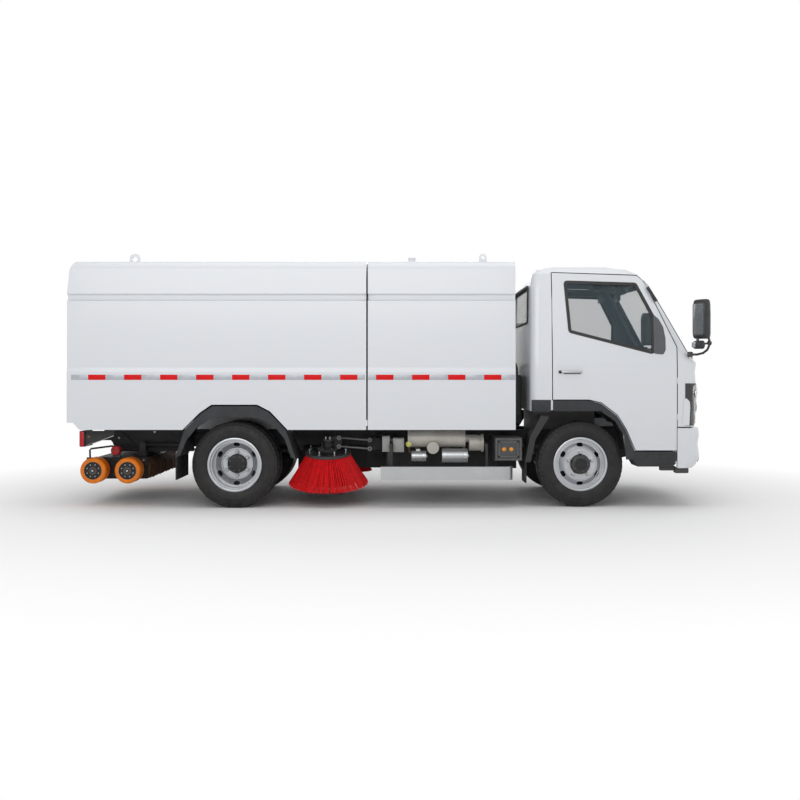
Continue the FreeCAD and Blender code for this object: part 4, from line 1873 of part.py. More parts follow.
def main():
    """Builds every piece and writes one file for each."""
    os.makedirs("parts", exist_ok=True)
    rail = frame_rail()
    export("frame_rail_left", [rail])
    export("frame_rail_right", [mirrored(rail)])
    export("crossmembers", crossmembers())
    front_springs = leaf_pack(FRONT_AXLE_X, FRONT_SPRING_SPAN, FRONT_EYE_Z, FRONT_SEAT_Z)
    rear_springs = leaf_pack(REAR_AXLE_X, REAR_SPRING_SPAN, REAR_EYE_Z, REAR_SEAT_Z)
    export("leaf_springs", both_sides(front_springs) + both_sides(rear_springs))
    export("front_axle_beam", [front_axle_beam()])
    export("rear_axle_housing", [rear_axle_housing()])
    export("propeller_shaft", [propeller_shaft()])
    export("engine_blocks", engine_blocks())
    for name, side in (("right", -1.0), ("left", 1.0)):
        export("knuckle_" + name, [knuckle(side)])
        tyre_solid, rim_solid = front_wheel(side)
        export("front_tyre_" + name, [tyre_solid])
        export("front_rim_" + name, [rim_solid])
        tyres, rims = rear_wheels(side)
        export("rear_tyres_" + name, tyres)
        export("rear_rims_" + name, rims)
        front_low, rear_low, front_high, rear_high = link_ends(side)
        export("brush_swing_" + name, [brush_swing(side)])
        export("brush_lower_link_" + name, [link(front_low, rear_low)])
        export("brush_upper_link_" + name, [link(front_high, rear_high)])
        export("brush_head_" + name, [brush_head(side)])
        export("side_brush_" + name, [brush(side)])
        export("roller_rear_" + name, [roller(ROLLER_REAR, side)])
        export("roller_front_" + name, [roller(ROLLER_FRONT, side)])
    export("hopper_shell", [hopper_shell()])
    export("tailgate", [tailgate()])
    export("tip_cylinder_barrels", cylinder_barrels())
    export("tip_cylinder_rods", cylinder_rods())
    export("front_compartment", [front_compartment()])
    outer = cab_form(0.0)
    inner = cab_form(CAB_WALL, 1.0)
    export("cab_shell", [cab_shell(outer, inner)])
    band = cab_form(GLASS_INSET).cut(cab_form(GLASS_INSET + GLASS_THICKNESS, 1.0))
    export("cab_glass", [band.common(screen_prism()), band.common(backlight_prism())])
    for name, side in (("right", -1.0), ("left", 1.0)):
        export("door_" + name, [door(outer, inner, side)])
        export("door_glass_" + name, [side_pane(side)])
    export("headlamps", headlamps(outer))
    export("front_bumper", [front_bumper()])
    export("lower_trim", lower_trim())
    export("mirrors", mirrors())
    export("dashboard", [dashboard()])
    export("seats", seats())
    export("mudguards", mudguards())
    export("mud_flaps", mud_flaps())
    export("suction_nozzle", [nozzle()])
    export("nozzle_pull_arms", pull_arms())
    export("tool_brackets", brush_posts() + pull_brackets())
    export("rear_lamp_bar", rear_lamp_bar())
    export("equipment_boxes", equipment_boxes())
    export("exhaust_muffler", muffler())
    export("air_tanks", air_tanks())
    export("fuel_tank", fuel_tank())
    export("side_guards", side_guards())


main()
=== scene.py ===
"""Looks of the street sweeper truck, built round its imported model. Units are metres."""

import json
import math
import random

import bmesh
import bpy
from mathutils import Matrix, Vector


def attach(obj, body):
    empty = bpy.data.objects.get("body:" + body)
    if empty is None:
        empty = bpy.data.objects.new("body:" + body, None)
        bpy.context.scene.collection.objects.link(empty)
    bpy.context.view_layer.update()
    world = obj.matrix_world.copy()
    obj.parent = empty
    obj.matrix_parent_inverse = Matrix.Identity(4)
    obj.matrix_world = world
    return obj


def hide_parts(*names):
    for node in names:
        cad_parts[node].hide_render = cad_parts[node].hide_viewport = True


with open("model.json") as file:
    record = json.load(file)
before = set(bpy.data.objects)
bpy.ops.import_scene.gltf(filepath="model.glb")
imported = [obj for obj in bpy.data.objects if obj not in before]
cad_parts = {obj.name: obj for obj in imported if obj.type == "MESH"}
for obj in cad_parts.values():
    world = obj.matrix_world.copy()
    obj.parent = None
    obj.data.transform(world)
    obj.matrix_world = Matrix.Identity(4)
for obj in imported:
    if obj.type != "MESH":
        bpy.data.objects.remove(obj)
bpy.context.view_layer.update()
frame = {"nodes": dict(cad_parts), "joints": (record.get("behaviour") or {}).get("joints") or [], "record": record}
nodes = frame["nodes"]
SIDES = (("right", -1.0), ("left", 1.0))
TAU = 2.0 * math.pi


MIDDLE_AHEAD = 1367.5


def ahead(distance):
    """X of a place this many millimetres ahead of the rear axle."""
    return (distance - MIDDLE_AHEAD) / 1000.0


# Wheels: axles, half width of a tyre, and the outer faces of the tyres and wheel discs
FRONT_AXLE = ahead(3050.0)
REAR_AXLE = ahead(0.0)
AXLE_Z = 0.38
HALF_TYRE = 0.1
FRONT_TYRE_Y = 0.865
REAR_OUTER_TYRE_Y = 0.94
REAR_INNER_TYRE_Y = 0.705
FRONT_DISC_Y = 0.8425
REAR_DISC_Y = 0.7675

# Nozzle rollers and side brush discs
ROLLER_Y = 0.8
ROLLER_Z = 0.317
BRUSH_TOP_Z = 0.482

# Exhaust muffler and air tanks under the compartment
MUFFLER_Y = -0.745
TANK_Y = -0.82
MUFFLER_Z = 0.602
BATTERY_Y = -0.9 + 0.001


# Materials


class Finish:
    """A procedural material: one surface shader fed by noise in the object's own metres."""

    def __init__(self, name, colour, rough, metal=0.0, **sockets):
        self.material = bpy.data.materials.new(name)
        self.material.use_nodes = True
        self.tree = self.material.node_tree
        self.links = self.tree.links
        self.shader = self.tree.nodes["Principled BSDF"]
        self.place = self.tree.nodes.new("ShaderNodeTexCoord").outputs["Object"]
        self.colour = colour
        self.shader.inputs["Base Color"].default_value = (*colour, 1.0)
        self.shader.inputs["Roughness"].default_value = rough
        self.shader.inputs["Metallic"].default_value = metal
        self.rough = rough
        for key, value in sockets.items():
            self.shader.inputs[key.replace("_", " ").title().replace("Ior", "IOR")].default_value = value
        self.paint = None

    def node(self, kind, **values):
        """Adds a shader node and sets its properties."""
        made = self.tree.nodes.new(kind)
        for key, value in values.items():
            setattr(made, key, value)
        return made

    def noise(self, scale, detail=4.0, stretch=(1.0, 1.0, 1.0)):
        """Noise from 0 to 1 over the object's own metres."""
        spread = self.node("ShaderNodeMapping")
        spread.inputs["Scale"].default_value = stretch
        self.links.new(self.place, spread.inputs["Vector"])
        made = self.node("ShaderNodeTexNoise")
        made.inputs["Scale"].default_value = scale
        made.inputs["Detail"].default_value = detail
        self.links.new(spread.outputs["Vector"], made.inputs["Vector"])
        return made.outputs["Fac"]

    def ramp(self, value, low, high, out_low, out_high):
        """Maps a value's range to another range."""
        made = self.node("ShaderNodeMapRange")
        self.links.new(value, made.inputs["Value"])
        for key, number in zip(("From Min", "From Max", "To Min", "To Max"), (low, high, out_low, out_high)):
            made.inputs[key].default_value = number
        return made.outputs["Result"]

    def blend(self, colour, share):
        """Lays a second colour over what is there, by a share from 0 to 1."""
        made = self.node("ShaderNodeMix", data_type="RGBA")
        self.links.new(share, made.inputs["Factor"])
        if self.paint is None:
            made.inputs["A"].default_value = (*self.colour, 1.0)
        else:
            self.links.new(self.paint, made.inputs["A"])
        made.inputs["B"].default_value = (*colour, 1.0)
        self.paint = made.outputs["Result"]
        self.links.new(self.paint, self.shader.inputs["Base Color"])
        return self

    def vary(self, amount, scale=3.0):
        """Slow change of the colour's depth over the surface."""
        deep = tuple(c * (1.0 - amount) for c in self.colour)
        return self.blend(deep, self.ramp(self.noise(scale), 0.35, 0.65, 0.0, 1.0))

    def dust_and_painted_shade(self, colour, amount, top=1.0, scale=7.0):
        """Road dust that thins out with height; on the wheel rims it is also painted shade."""
        parts = self.node("ShaderNodeSeparateXYZ")
        self.links.new(self.place, parts.inputs["Vector"])
        low = self.ramp(parts.outputs["Z"], 0.0, top, 1.0, 0.0)
        patch = self.ramp(self.noise(scale, 8.0), 0.3, 0.7, 0.15, 1.0)
        both = self.node("ShaderNodeMath", operation="MULTIPLY")
        self.links.new(low, both.inputs[0])
        self.links.new(patch, both.inputs[1])
        return self.blend(colour, self.ramp(both.outputs["Value"], 0.0, 1.0, 0.0, amount))

    def worn(self, colour, amount=0.6):
        """Bare metal along sharp edges."""
        edge = self.ramp(self.node("ShaderNodeNewGeometry").outputs["Pointiness"], 0.52, 0.6, 0.0, amount)
        return self.blend(colour, edge)

    def gloss(self, spread, scale=20.0, stretch=(1.0, 1.0, 1.0)):
        """Patches of slightly more and less gloss."""
        value = self.ramp(self.noise(scale, 5.0, stretch), 0.3, 0.7, self.rough - spread, self.rough + spread)
        self.links.new(value, self.shader.inputs["Roughness"])
        return self

    def relief(self, height, depth, strength):
        """Small bumps from a height."""
        made = self.node("ShaderNodeBump")
        made.inputs["Strength"].default_value = strength
        made.inputs["Distance"].default_value = depth
        self.links.new(height, made.inputs["Height"])
        self.links.new(made.outputs["Normal"], self.shader.inputs["Normal"])
        return self

    def grain(self, scale, depth, strength=0.4, stretch=(1.0, 1.0, 1.0)):
        """Fine relief, from grained plastic to orange peel."""
        return self.relief(self.noise(scale, 6.0, stretch), depth, strength)

    def cells(self, scale, depth, strength=0.5):
        """Relief of small cells, as in reflective tape and lamp lenses."""
        cell = self.node("ShaderNodeTexVoronoi")
        cell.inputs["Scale"].default_value = scale
        cell.inputs["Randomness"].default_value = 0.15
        self.links.new(self.place, cell.inputs["Vector"])
        return self.relief(cell.outputs["Distance"], depth, strength)

    def weave(self, threads, depth):
        """Relief of crossed threads."""
        height = None
        for direction in ("X", "Y", "Z"):
            band = self.node("ShaderNodeTexWave", bands_direction=direction)
            band.inputs["Scale"].default_value = threads
            self.links.new(self.place, band.inputs["Vector"])
            if height is None:
                height = band.outputs["Fac"]
            else:
                both = self.node("ShaderNodeMath", operation="ADD")
                self.links.new(height, both.inputs[0])
                self.links.new(band.outputs["Fac"], both.inputs[1])
                height = both.outputs["Value"]
        return self.relief(height, depth, 0.6)


DUST = (0.3, 0.27, 0.23)
paint = Finish("body_paint", (0.64, 0.66, 0.69), 0.3, coat_weight=0.25, coat_roughness=0.1)
paint.vary(0.006, 0.8).dust_and_painted_shade(DUST, 0.03, 0.95).gloss(0.012, 6.0).grain(420.0, 0.0002, 0.05)
chassis_black = Finish("chassis_black", (0.01, 0.01, 0.011), 0.5, specular_ior_level=0.22)
chassis_black.vary(0.3, 5.0).dust_and_painted_shade(DUST, 0.03, 0.9).worn((0.1, 0.1, 0.1), 0.3).gloss(0.12, 14.0)
chassis_black.grain(260.0, 0.0006, 0.25)
# Wheel rims: the dark brown blend is brake dust and painted shade together. It darkens the silver in patches, and
# more towards the bottom.
rim_silver = Finish("rim_silver", (0.5, 0.515, 0.54), 0.36, 0.7)
rim_silver.vary(0.12, 9.0).dust_and_painted_shade((0.16, 0.14, 0.12), 0.2, 0.8, 16.0).gloss(0.08, 25.0).grain(500.0, 0.0003, 0.1)
black_plastic = Finish("black_plastic", (0.026, 0.028, 0.032), 0.55, specular_ior_level=0.35)
black_plastic.vary(0.2, 6.0).dust_and_painted_shade(DUST, 0.05, 1.0).gloss(0.1, 12.0).grain(900.0, 0.0004, 0.35)
dark_trim = Finish("dark_trim", (0.085, 0.09, 0.1), 0.62)
dark_trim.vary(0.15, 8.0).gloss(0.08, 18.0).grain(1100.0, 0.0004, 0.4)
tyre_rubber = Finish("tyre_rubber", (0.011, 0.011, 0.012), 0.55, specular_ior_level=0.3)
tyre_rubber.vary(0.35, 12.0).dust_and_painted_shade((0.13, 0.115, 0.1), 0.14, 0.9, 18.0).gloss(0.1, 30.0)
tyre_rubber.grain(700.0, 0.0005, 0.35)
flap_rubber = Finish("flap_rubber", (0.01, 0.01, 0.011), 0.66, specular_ior_level=0.25)
flap_rubber.vary(0.3, 9.0).dust_and_painted_shade(DUST, 0.12, 0.7, 12.0).gloss(0.12, 20.0).grain(300.0, 0.0008, 0.3)
bristle_red = Finish("bristle_red", (0.8, 0.004, 0.008), 0.42, specular_ior_level=0.15)
bristle_red.vary(0.3, 40.0).dust_and_painted_shade(DUST, 0.04, 0.4, 30.0).gloss(0.1, 60.0).grain(800.0, 0.0003, 0.2)
roller_orange = Finish("roller_orange", (0.82, 0.205, 0.008), 0.5, specular_ior_level=0.25)
roller_orange.vary(0.2, 14.0).dust_and_painted_shade((0.2, 0.14, 0.09), 0.16, 0.55, 22.0).gloss(0.12, 25.0)
roller_orange.grain(500.0, 0.0005, 0.3)
pane = Finish("pane", (0.08, 0.12, 0.14), 0.03, alpha=0.2, specular_ior_level=0.5)
pane.vary(0.1, 2.0).gloss(0.01, 9.0)
steel = Finish("bright_steel", (0.46, 0.47, 0.48), 0.28, 0.95)
steel.vary(0.12, 8.0).gloss(0.1, 40.0, (1.0, 8.0, 8.0)).grain(600.0, 0.0002, 0.15, (0.1, 1.0, 1.0))
aluminium = Finish("guard_aluminium", (0.43, 0.44, 0.45), 0.36, 0.9)
aluminium.vary(0.06, 5.0).dust_and_painted_shade(DUST, 0.1, 0.6).gloss(0.09, 30.0, (0.08, 1.0, 6.0))
aluminium.grain(900.0, 0.0002, 0.25, (0.02, 1.0, 1.0))
iron = Finish("engine_iron", (0.13, 0.13, 0.135), 0.6, 0.4)
iron.vary(0.3, 11.0).dust_and_painted_shade((0.2, 0.16, 0.12), 0.25, 1.0).worn((0.3, 0.29, 0.28), 0.4).grain(180.0, 0.001, 0.5)
muffler_grey = Finish("muffler_grey", (0.46, 0.44, 0.4), 0.5, 0.25)
muffler_grey.vary(0.18, 7.0).dust_and_painted_shade((0.22, 0.16, 0.11), 0.25, 0.9, 12.0).gloss(0.1, 22.0).grain(300.0, 0.0005,
                                                                                              0.3)
cloth = Finish("seat_cloth", (0.075, 0.078, 0.085), 0.92, sheen_weight=0.25, sheen_roughness=0.5)
cloth.vary(0.25, 30.0).weave(120.0, 0.0006)
tape_red = Finish("tape_red", (0.66, 0.006, 0.008), 0.4, specular_ior_level=0.15)
tape_red.vary(0.1, 30.0).cells(260.0, 0.0004, 0.3)
tape_silver = Finish("tape_silver", (0.42, 0.44, 0.48), 0.36, 0.2, coat_weight=0.1)
tape_silver.vary(0.12, 30.0).cells(260.0, 0.0004, 0.3)
lens_red = Finish("lens_red", (0.5, 0.006, 0.008), 0.18, coat_weight=0.15, specular_ior_level=0.3)
lens_red.vary(0.2, 50.0).cells(140.0, 0.0012, 0.6)
lens_amber = Finish("lens_amber", (0.8, 0.3, 0.01), 0.2, coat_weight=0.15, specular_ior_level=0.3)
lens_amber.vary(0.2, 50.0).cells(160.0, 0.001, 0.5)
lens_clear = Finish("lens_clear", (0.5, 0.52, 0.54), 0.06, alpha=0.07, specular_ior_level=0.25)
lens_clear.vary(0.05, 20.0).gloss(0.02, 20.0)
chrome = Finish("chrome", (0.78, 0.79, 0.8), 0.1, 1.0)
chrome.vary(0.06, 20.0).gloss(0.04, 30.0)
glazing_rubber = Finish("glazing_rubber", (0.012, 0.012, 0.013), 0.55)
glazing_rubber.vary(0.2, 12.0).gloss(0.1, 25.0).grain(800.0, 0.0003, 0.25)
red_paint = Finish("red_paint", (0.48, 0.006, 0.012), 0.4, specular_ior_level=0.25)
red_paint.vary(0.2, 18.0).dust_and_painted_shade(DUST, 0.2, 0.8, 14.0).gloss(0.1, 20.0).grain(300.0, 0.0004, 0.2)
skirt_brown = Finish("skirt_brown", (0.105, 0.045, 0.02), 0.8, specular_ior_level=0.25)
skirt_brown.vary(0.4, 14.0).dust_and_painted_shade((0.2, 0.13, 0.08), 0.4, 0.7, 10.0).gloss(0.1, 20.0).grain(160.0, 0.0015, 0.6)
cap_yellow = Finish("cap_yellow", (0.62, 0.6, 0.16), 0.45)
cap_yellow.vary(0.15, 30.0).gloss(0.1, 30.0).grain(600.0, 0.0003, 0.2)
box_grey = Finish("box_grey", (0.3, 0.3, 0.29), 0.5)
box_grey.vary(0.15, 9.0).dust_and_painted_shade(DUST, 0.2, 0.9).gloss(0.1, 20.0).grain(400.0, 0.0004, 0.25)
frame_grey = Finish("frame_grey", (0.095, 0.097, 0.1), 0.5)
frame_grey.vary(0.2, 9.0).dust_and_painted_shade(DUST, 0.08, 0.9).gloss(0.1, 20.0)
link_steel = Finish("link_steel", (0.15, 0.15, 0.155), 0.4, 0.8)
link_steel.vary(0.3, 14.0).dust_and_painted_shade(DUST, 0.15, 0.9).gloss(0.1, 20.0)
marker_dim = Finish("marker_dim", (0.12, 0.085, 0.02), 0.3)
marker_dim.vary(0.1, 20.0).gloss(0.05, 20.0).cells(140.0, 0.0008)
battery_grey = Finish("battery_grey", (0.055, 0.056, 0.06), 0.55)
battery_grey.vary(0.2, 9.0).dust_and_painted_shade(DUST, 0.08, 0.9).gloss(0.1, 20.0).grain(500.0, 0.0004, 0.3)
lamp_black = Finish("lamp_black", (0.012, 0.012, 0.013), 0.12, coat_weight=0.5)
lamp_black.vary(0.2, 12.0).gloss(0.05, 20.0)
reflector = Finish("reflector", (0.5, 0.49, 0.47), 0.16, 0.9)
reflector.vary(0.15, 14.0).gloss(0.06, 30.0).cells(60.0, 0.0012, 0.35)
plate_white = Finish("plate_white", (0.72, 0.73, 0.72), 0.4)
plate_white.vary(0.05, 14.0).gloss(0.08, 25.0).grain(500.0, 0.0002, 0.15)
hub_black = Finish("hub_black", (0.014, 0.014, 0.015), 0.42, specular_ior_level=0.3)
hub_black.vary(0.3, 22.0).dust_and_painted_shade(DUST, 0.04, 0.9, 20.0).worn((0.2, 0.2, 0.2), 0.4).gloss(0.12, 30.0)
duct_grey = Finish("duct_grey", (0.16, 0.125, 0.105), 0.75)
duct_grey.vary(0.35, 12.0).dust_and_painted_shade((0.2, 0.13, 0.08), 0.3, 0.9, 12.0).gloss(0.1, 20.0).grain(220.0, 0.001, 0.5)
mirror_glass = Finish("mirror_glass", (0.46, 0.48, 0.49), 0.08, 0.75)
mirror_glass.vary(0.1, 3.0).gloss(0.01, 12.0)
cab_lining = Finish("cab_lining", (0.13, 0.155, 0.18), 0.8)
cab_lining.vary(0.1, 6.0).gloss(0.05, 20.0).grain(900.0, 0.0004, 0.3)
# Darker copy of the bristle red: painted shade for the packed bristles inside each brush.
bristle_painted_shade = Finish("bristle_painted_shade", (0.16, 0.002, 0.004), 0.7, specular_ior_level=0.1)
bristle_painted_shade.vary(0.4, 30.0).gloss(0.1, 40.0).grain(300.0, 0.001, 0.4)
white_plastic = Finish("white_plastic", (0.7, 0.7, 0.68), 0.45)
white_plastic.vary(0.12, 30.0).dust_and_painted_shade(DUST, 0.15, 0.9).gloss(0.08, 25.0)

SLOT_FINISH = {
    "body_paint": paint,
    "frame_paint": chassis_black,
    "rim_paint": rim_silver,
    "black_plastic": black_plastic,
    "dark_trim": dark_trim,
    "lamp_clear": lens_clear,
    "brush_red": bristle_red,
    "roller_orange": roller_orange,
    "flap_rubber": flap_rubber,
    "tyre_rubber": tyre_rubber,
    "pane": pane,
    "cloth": cloth,
    "bright_steel": steel,
    "guard_aluminium": aluminium,
    "engine_iron": iron,
}

for part in frame["record"]["subparts"]:
    holder = nodes[part["node"]]
    holder.data.materials.clear()
    holder.data.materials.append(SLOT_FINISH[part["material_slot"]].material)
    holder.data.set_sharp_from_angle(angle=math.radians(32.0))


def repaint(node, low, high, finish):
    """Gives the faces of a CAD node inside a box another finish."""
    mesh = nodes[node].data
    mesh.materials.append(finish.material)
    index = len(mesh.materials) - 1
    for face in mesh.polygons:
        if all(a <= c <= b for a, c, b in zip(low, face.center, high)):
            face.material_index = index


# Builders


class Form:
    """Collects bevelled blocks, tubes and turned shapes into one mesh."""

    def __init__(self):
        self.mesh = bmesh.new()

    def block(self, low, high, bevel=0.0):
        """Box between two corners, with rounded edges."""
        low, high = Vector(low), Vector(high)
        a = Vector([min(p, q) for p, q in zip(low, high)])
        b = Vector([max(p, q) for p, q in zip(low, high)])
        made = bmesh.ops.create_cube(self.mesh, size=1.0)["verts"]
        middle = (a + b) / 2.0
        for v in made:
            v.co = Vector(p * s for p, s in zip(v.co, b - a))
        if bevel:
            edges = list({e for v in made for e in v.link_edges})
            out = bmesh.ops.bevel(self.mesh, geom=edges, offset=bevel, segments=2, profile=0.5, affect="EDGES")
            made = list({v for f in out["faces"] for v in f.verts} | {v for v in made if v.is_valid})
        for v in made:
            v.co = v.co + middle
        return self

    def loft(self, rings):
        """Skin over a run of rings of equal count, closed at both ends."""
        count = len(rings[0])
        for a, b in zip(rings, rings[1:]):
            for k in range(count):
                n = (k + 1) % count
                self.mesh.faces.new((a[k], a[n], b[n], b[k]))
        self.mesh.faces.new(list(reversed(rings[0])))
        self.mesh.faces.new(rings[-1])
        return self

    def sheet(self, front, back):
        """Closed sheet between two grids of vertices of equal size."""
        add = self.mesh.faces.new
        rows, steps = len(front) - 1, len(front[0]) - 1
        for r in range(rows):
            for k in range(steps):
                add((front[r][k], front[r][k + 1], front[r + 1][k + 1], front[r + 1][k]))
                add((back[r][k], back[r + 1][k], back[r + 1][k + 1], back[r][k + 1]))
        for r in (0, rows):
            for k in range(steps):
                add((front[r][k], back[r][k], back[r][k + 1], front[r][k + 1]))
        for r in range(rows):
            for k in (0, steps):
                add((front[r][k], front[r + 1][k], back[r + 1][k], back[r][k]))
        return self

    def tube(self, points, radius, sides=12):
        """Round bar along a run of points, with flat ends."""
        path = [Vector(p) for p in points]
        turns = [TAU * k / sides for k in range(sides)]
        rings = []
        across = None
        for i, p in enumerate(path):
            way = (path[min(i + 1, len(path) - 1)] - path[max(i - 1, 0)]).normalized()
            if across is None:
                across = way.orthogonal().normalized()
            across = (across - way * across.dot(way)).normalized()
            up = way.cross(across)
            rings.append([self.mesh.verts.new(p + radius * (math.cos(t) * across + math.sin(t) * up))
                          for t in turns])
        return self.loft(rings)

    def lathe(self, profile, base, axis, steps=48, shape=None):
        """Turned shape: profile pairs are (distance along the axis, radius); ends close on the axis.

        shape, if given, moves a point: it takes the distance, the radius and the turn number.
        """
        axis = Vector(axis).normalized()
        across = axis.orthogonal().normalized()
        if abs(axis.y) > 0.9:
            across = Vector((0.0, 0.0, 1.0))
        up = axis.cross(across)
        base = Vector(base)
        rings = []
        for along, radius in profile:
            ring = []
            for k in range(steps):
                d, r = shape(along, radius, k) if shape else (along, radius)
                t = TAU * k / steps
                ring.append(self.mesh.verts.new(base + axis * d + r * (math.cos(t) * across + math.sin(t) * up)))
                if radius == 0.0:
                    break
            rings.append(ring)
        for a, b in zip(rings, rings[1:]):
            for k in range(steps):
                n = (k + 1) % steps
                if len(a) == 1:
                    self.mesh.faces.new((a[0], b[n], b[k]))
                elif len(b) == 1:
                    self.mesh.faces.new((a[k], a[n], b[0]))
                else:
                    self.mesh.faces.new((a[k], a[n], b[n], b[k]))
        return self

    def prism(self, outline, shift):
        """Closed outline of 3-D points pushed along a vector."""
        shift = Vector(shift)
        low = [self.mesh.verts.new(p) for p in outline]
        return self.loft([low, [self.mesh.verts.new(Vector(p) + shift) for p in outline]])

    def band(self, outer, inner, shift):
        """Flat ring between two outlines of equal count, pushed along a vector."""
        shift = Vector(shift)
        rows = []
        for outline in (outer, inner):
            rows.append([self.mesh.verts.new(p) for p in outline])
            rows.append([self.mesh.verts.new(Vector(p) + shift) for p in outline])
        a, b, c, d = rows
        count = len(outer)
        for i in range(count):
            n = (i + 1) % count
            self.mesh.faces.new((a[i], a[n], b[n], b[i]))
            self.mesh.faces.new((c[i], d[i], d[n], c[n]))
            self.mesh.faces.new((b[i], b[n], d[n], d[i]))
            self.mesh.faces.new((a[i], c[i], c[n], a[n]))
        return self

    def piece(self, name, finish, body, slot=None, angle=35.0):
        """Ends the mesh as a piece that rides on a body."""
        bmesh.ops.recalc_face_normals(self.mesh, faces=self.mesh.faces)
        data = bpy.data.meshes.new(name)
        self.mesh.to_mesh(data)
        self.mesh.free()
        for face in data.polygons:
            face.use_smooth = True
        data.set_sharp_from_angle(angle=math.radians(angle))
        data.materials.append(finish.material)
        made = bpy.data.objects.new(name, data)
        bpy.context.scene.collection.objects.link(made)
        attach(made, body)
        return made


def disc(radius, end, start=0.0):
    """Profile of a plain disc, bolt head or nut between two distances along its axis."""
    return [(start, 0.0), (start, radius), (end, radius), (end, 0.0)]


def rounded(outline, radius, steps=5):
    """2-D outline with its corners rounded."""
    points = []
    count = len(outline)
    for i in range(count):
        p = Vector(outline[i])
        a = Vector(outline[i - 1]) - p
        b = Vector(outline[(i + 1) % count]) - p
        half = a.angle(b) / 2.0
        cut = min(radius / math.tan(half), 0.45 * a.length, 0.45 * b.length)
        p0 = p + a.normalized() * cut
        p1 = p + b.normalized() * cut
        for k in range(steps + 1):
            t = k / steps
            points.append(((1 - t) ** 2) * p0 + 2 * t * (1 - t) * p + t * t * p1)
    return points


def rectangle(x0, y0, x1, y1):
    """2-D outline of a rectangle between two corners."""
    return [Vector((x0, y0)), Vector((x1, y0)), Vector((x1, y1)), Vector((x0, y1))]


def upright(outline, x):
    """Points of a (y, z) outline in the upright plane at x."""
    return [Vector((x, p.x, p.y)) for p in outline]


def offset(outline, distance):
    """2-D outline moved outward by a distance, with the same number of points."""
    count = len(outline)
    area = sum(outline[i - 1].x * outline[i].y - outline[i].x * outline[i - 1].y for i in range(count))
    sign = 1.0 if area > 0.0 else -1.0
    moved = []
    for i in range(count):
        before = (outline[i] - outline[i - 1]).normalized()
        after = (outline[(i + 1) % count] - outline[i]).normalized()
        way = before + after
        if way.length < 1e-6:
            way = after
        way.normalize()
        moved.append(outline[i] + Vector((way.y, -way.x)) * distance * sign)
    return moved


# Cab form, as the sections of the CAD give it: height, front at the corner, bow, half width

CAB_SECTIONS = (
    (0.5, 4050.0, 100.0, 0.896),
    (0.717, 4071.0, 91.0, 0.9),
    (1.054, 4089.0, 94.0, 0.9),
    (1.196, 4078.0, 94.0, 0.9),
    (1.275, 4090.0, 97.0, 0.897),
    (1.362, 4016.0, 106.0, 0.89),
    (1.957, 3683.0, 96.0, 0.842),
    (2.071, 3588.0, 92.0, 0.82),
    (2.112, 3505.0, 88.0, 0.79),
    (2.138, 3380.0, 84.0, 0.715),
)
CAB_CORNER = 0.11


def cab_section(z):
    """Front, bow and half width of the cab at a height."""
    for low, high in zip(CAB_SECTIONS, CAB_SECTIONS[1:]):
        if z <= high[0]:
            t = max(0.0, (z - low[0]) / (high[0] - low[0]))
            return [a + (b - a) * t for a, b in zip(low[1:], high[1:])]
    return list(CAB_SECTIONS[-1][1:])


def side_y(z):
    """Half width of the cab at a height."""
    return cab_section(z)[2]


def front_x(y, z):
    """X of the cab's front at a place across and a height."""
    front, bow, half = cab_section(z)
    reach = half - CAB_CORNER
    span = min(abs(y) / reach, 1.0)
    x = ahead(front + bow * (1.0 - span * span))
    if abs(y) > reach:
        over = min((abs(y) - reach) / CAB_CORNER, 1.0)
        x -= CAB_CORNER * (1.0 - math.sqrt(1.0 - over * over))
    return x


def on_side(outline, side, out):
    """Points of an (x, z) outline on the cab's side, moved outward."""
    return [Vector((p.x, side * (side_y(p.y) + out), p.y)) for p in outline]


def on_front(outline, out):
    """Points of a (y, z) outline on the cab's front, moved outward."""
    return [Vector((front_x(p.x, p.y) + out, p.x, p.y)) for p in outline]


# Tyres


def tyre_profile():
    """Half section of a tyre from its bead to the middle of its tread: (distance out, radius)."""
    side = [
        (0.07, 0.2285), (0.084, 0.231), (0.091, 0.24), (0.0945, 0.252), (0.0955, 0.254), (0.0965, 0.258),
        (0.0985, 0.275), (0.0995, 0.292), (0.0995, 0.294), (0.0999, 0.296), (0.0999, 0.302), (0.099, 0.304),
        (0.0975, 0.318), (0.095, 0.332), (0.093, 0.336), (0.0925, 0.342), (0.0885, 0.35), (0.0855, 0.3545),
    ]
    tread = [(0.084, 0.36), (0.08, 0.37), (0.076, 0.3755), (0.056, 0.379), (0.054, 0.3715), (0.047, 0.3715),
             (0.045, 0.3795), (0.024, 0.38), (0.022, 0.372), (0.015, 0.372), (0.013, 0.38)]
    return side, tread


def tyre(name, x, outer_y, side, body, node):
    """Ribbed road tyre with zigzag grooves, shoulder notches and a moulded sidewall."""
    shoulder, tread = tyre_profile()
    half = shoulder + tread
    profile = [(-a, r) for a, r in half] + [(a, r) for a, r in reversed(half)]
    middle = side * (outer_y - HALF_TYRE)
    steps = 168

    def shape(along, radius, k):
        zig = abs((k % 6) - 3) / 3.0 - 0.5
        if radius > 0.37 and abs(along) < 0.07:
            along += 0.006 * zig
        if 0.352 < radius and 0.074 < abs(along) < 0.088 and k % 3 == 0:
            along -= math.copysign(0.003, along)
            radius -= 0.0035
        return along, radius

    form = Form().lathe(profile, (x, middle, AXLE_Z), (0.0, 1.0, 0.0), steps, shape)
    made = form.piece(name, tyre_rubber, body, "tyre_rubber", 28.0)
    if node:
        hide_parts(node)
    return made


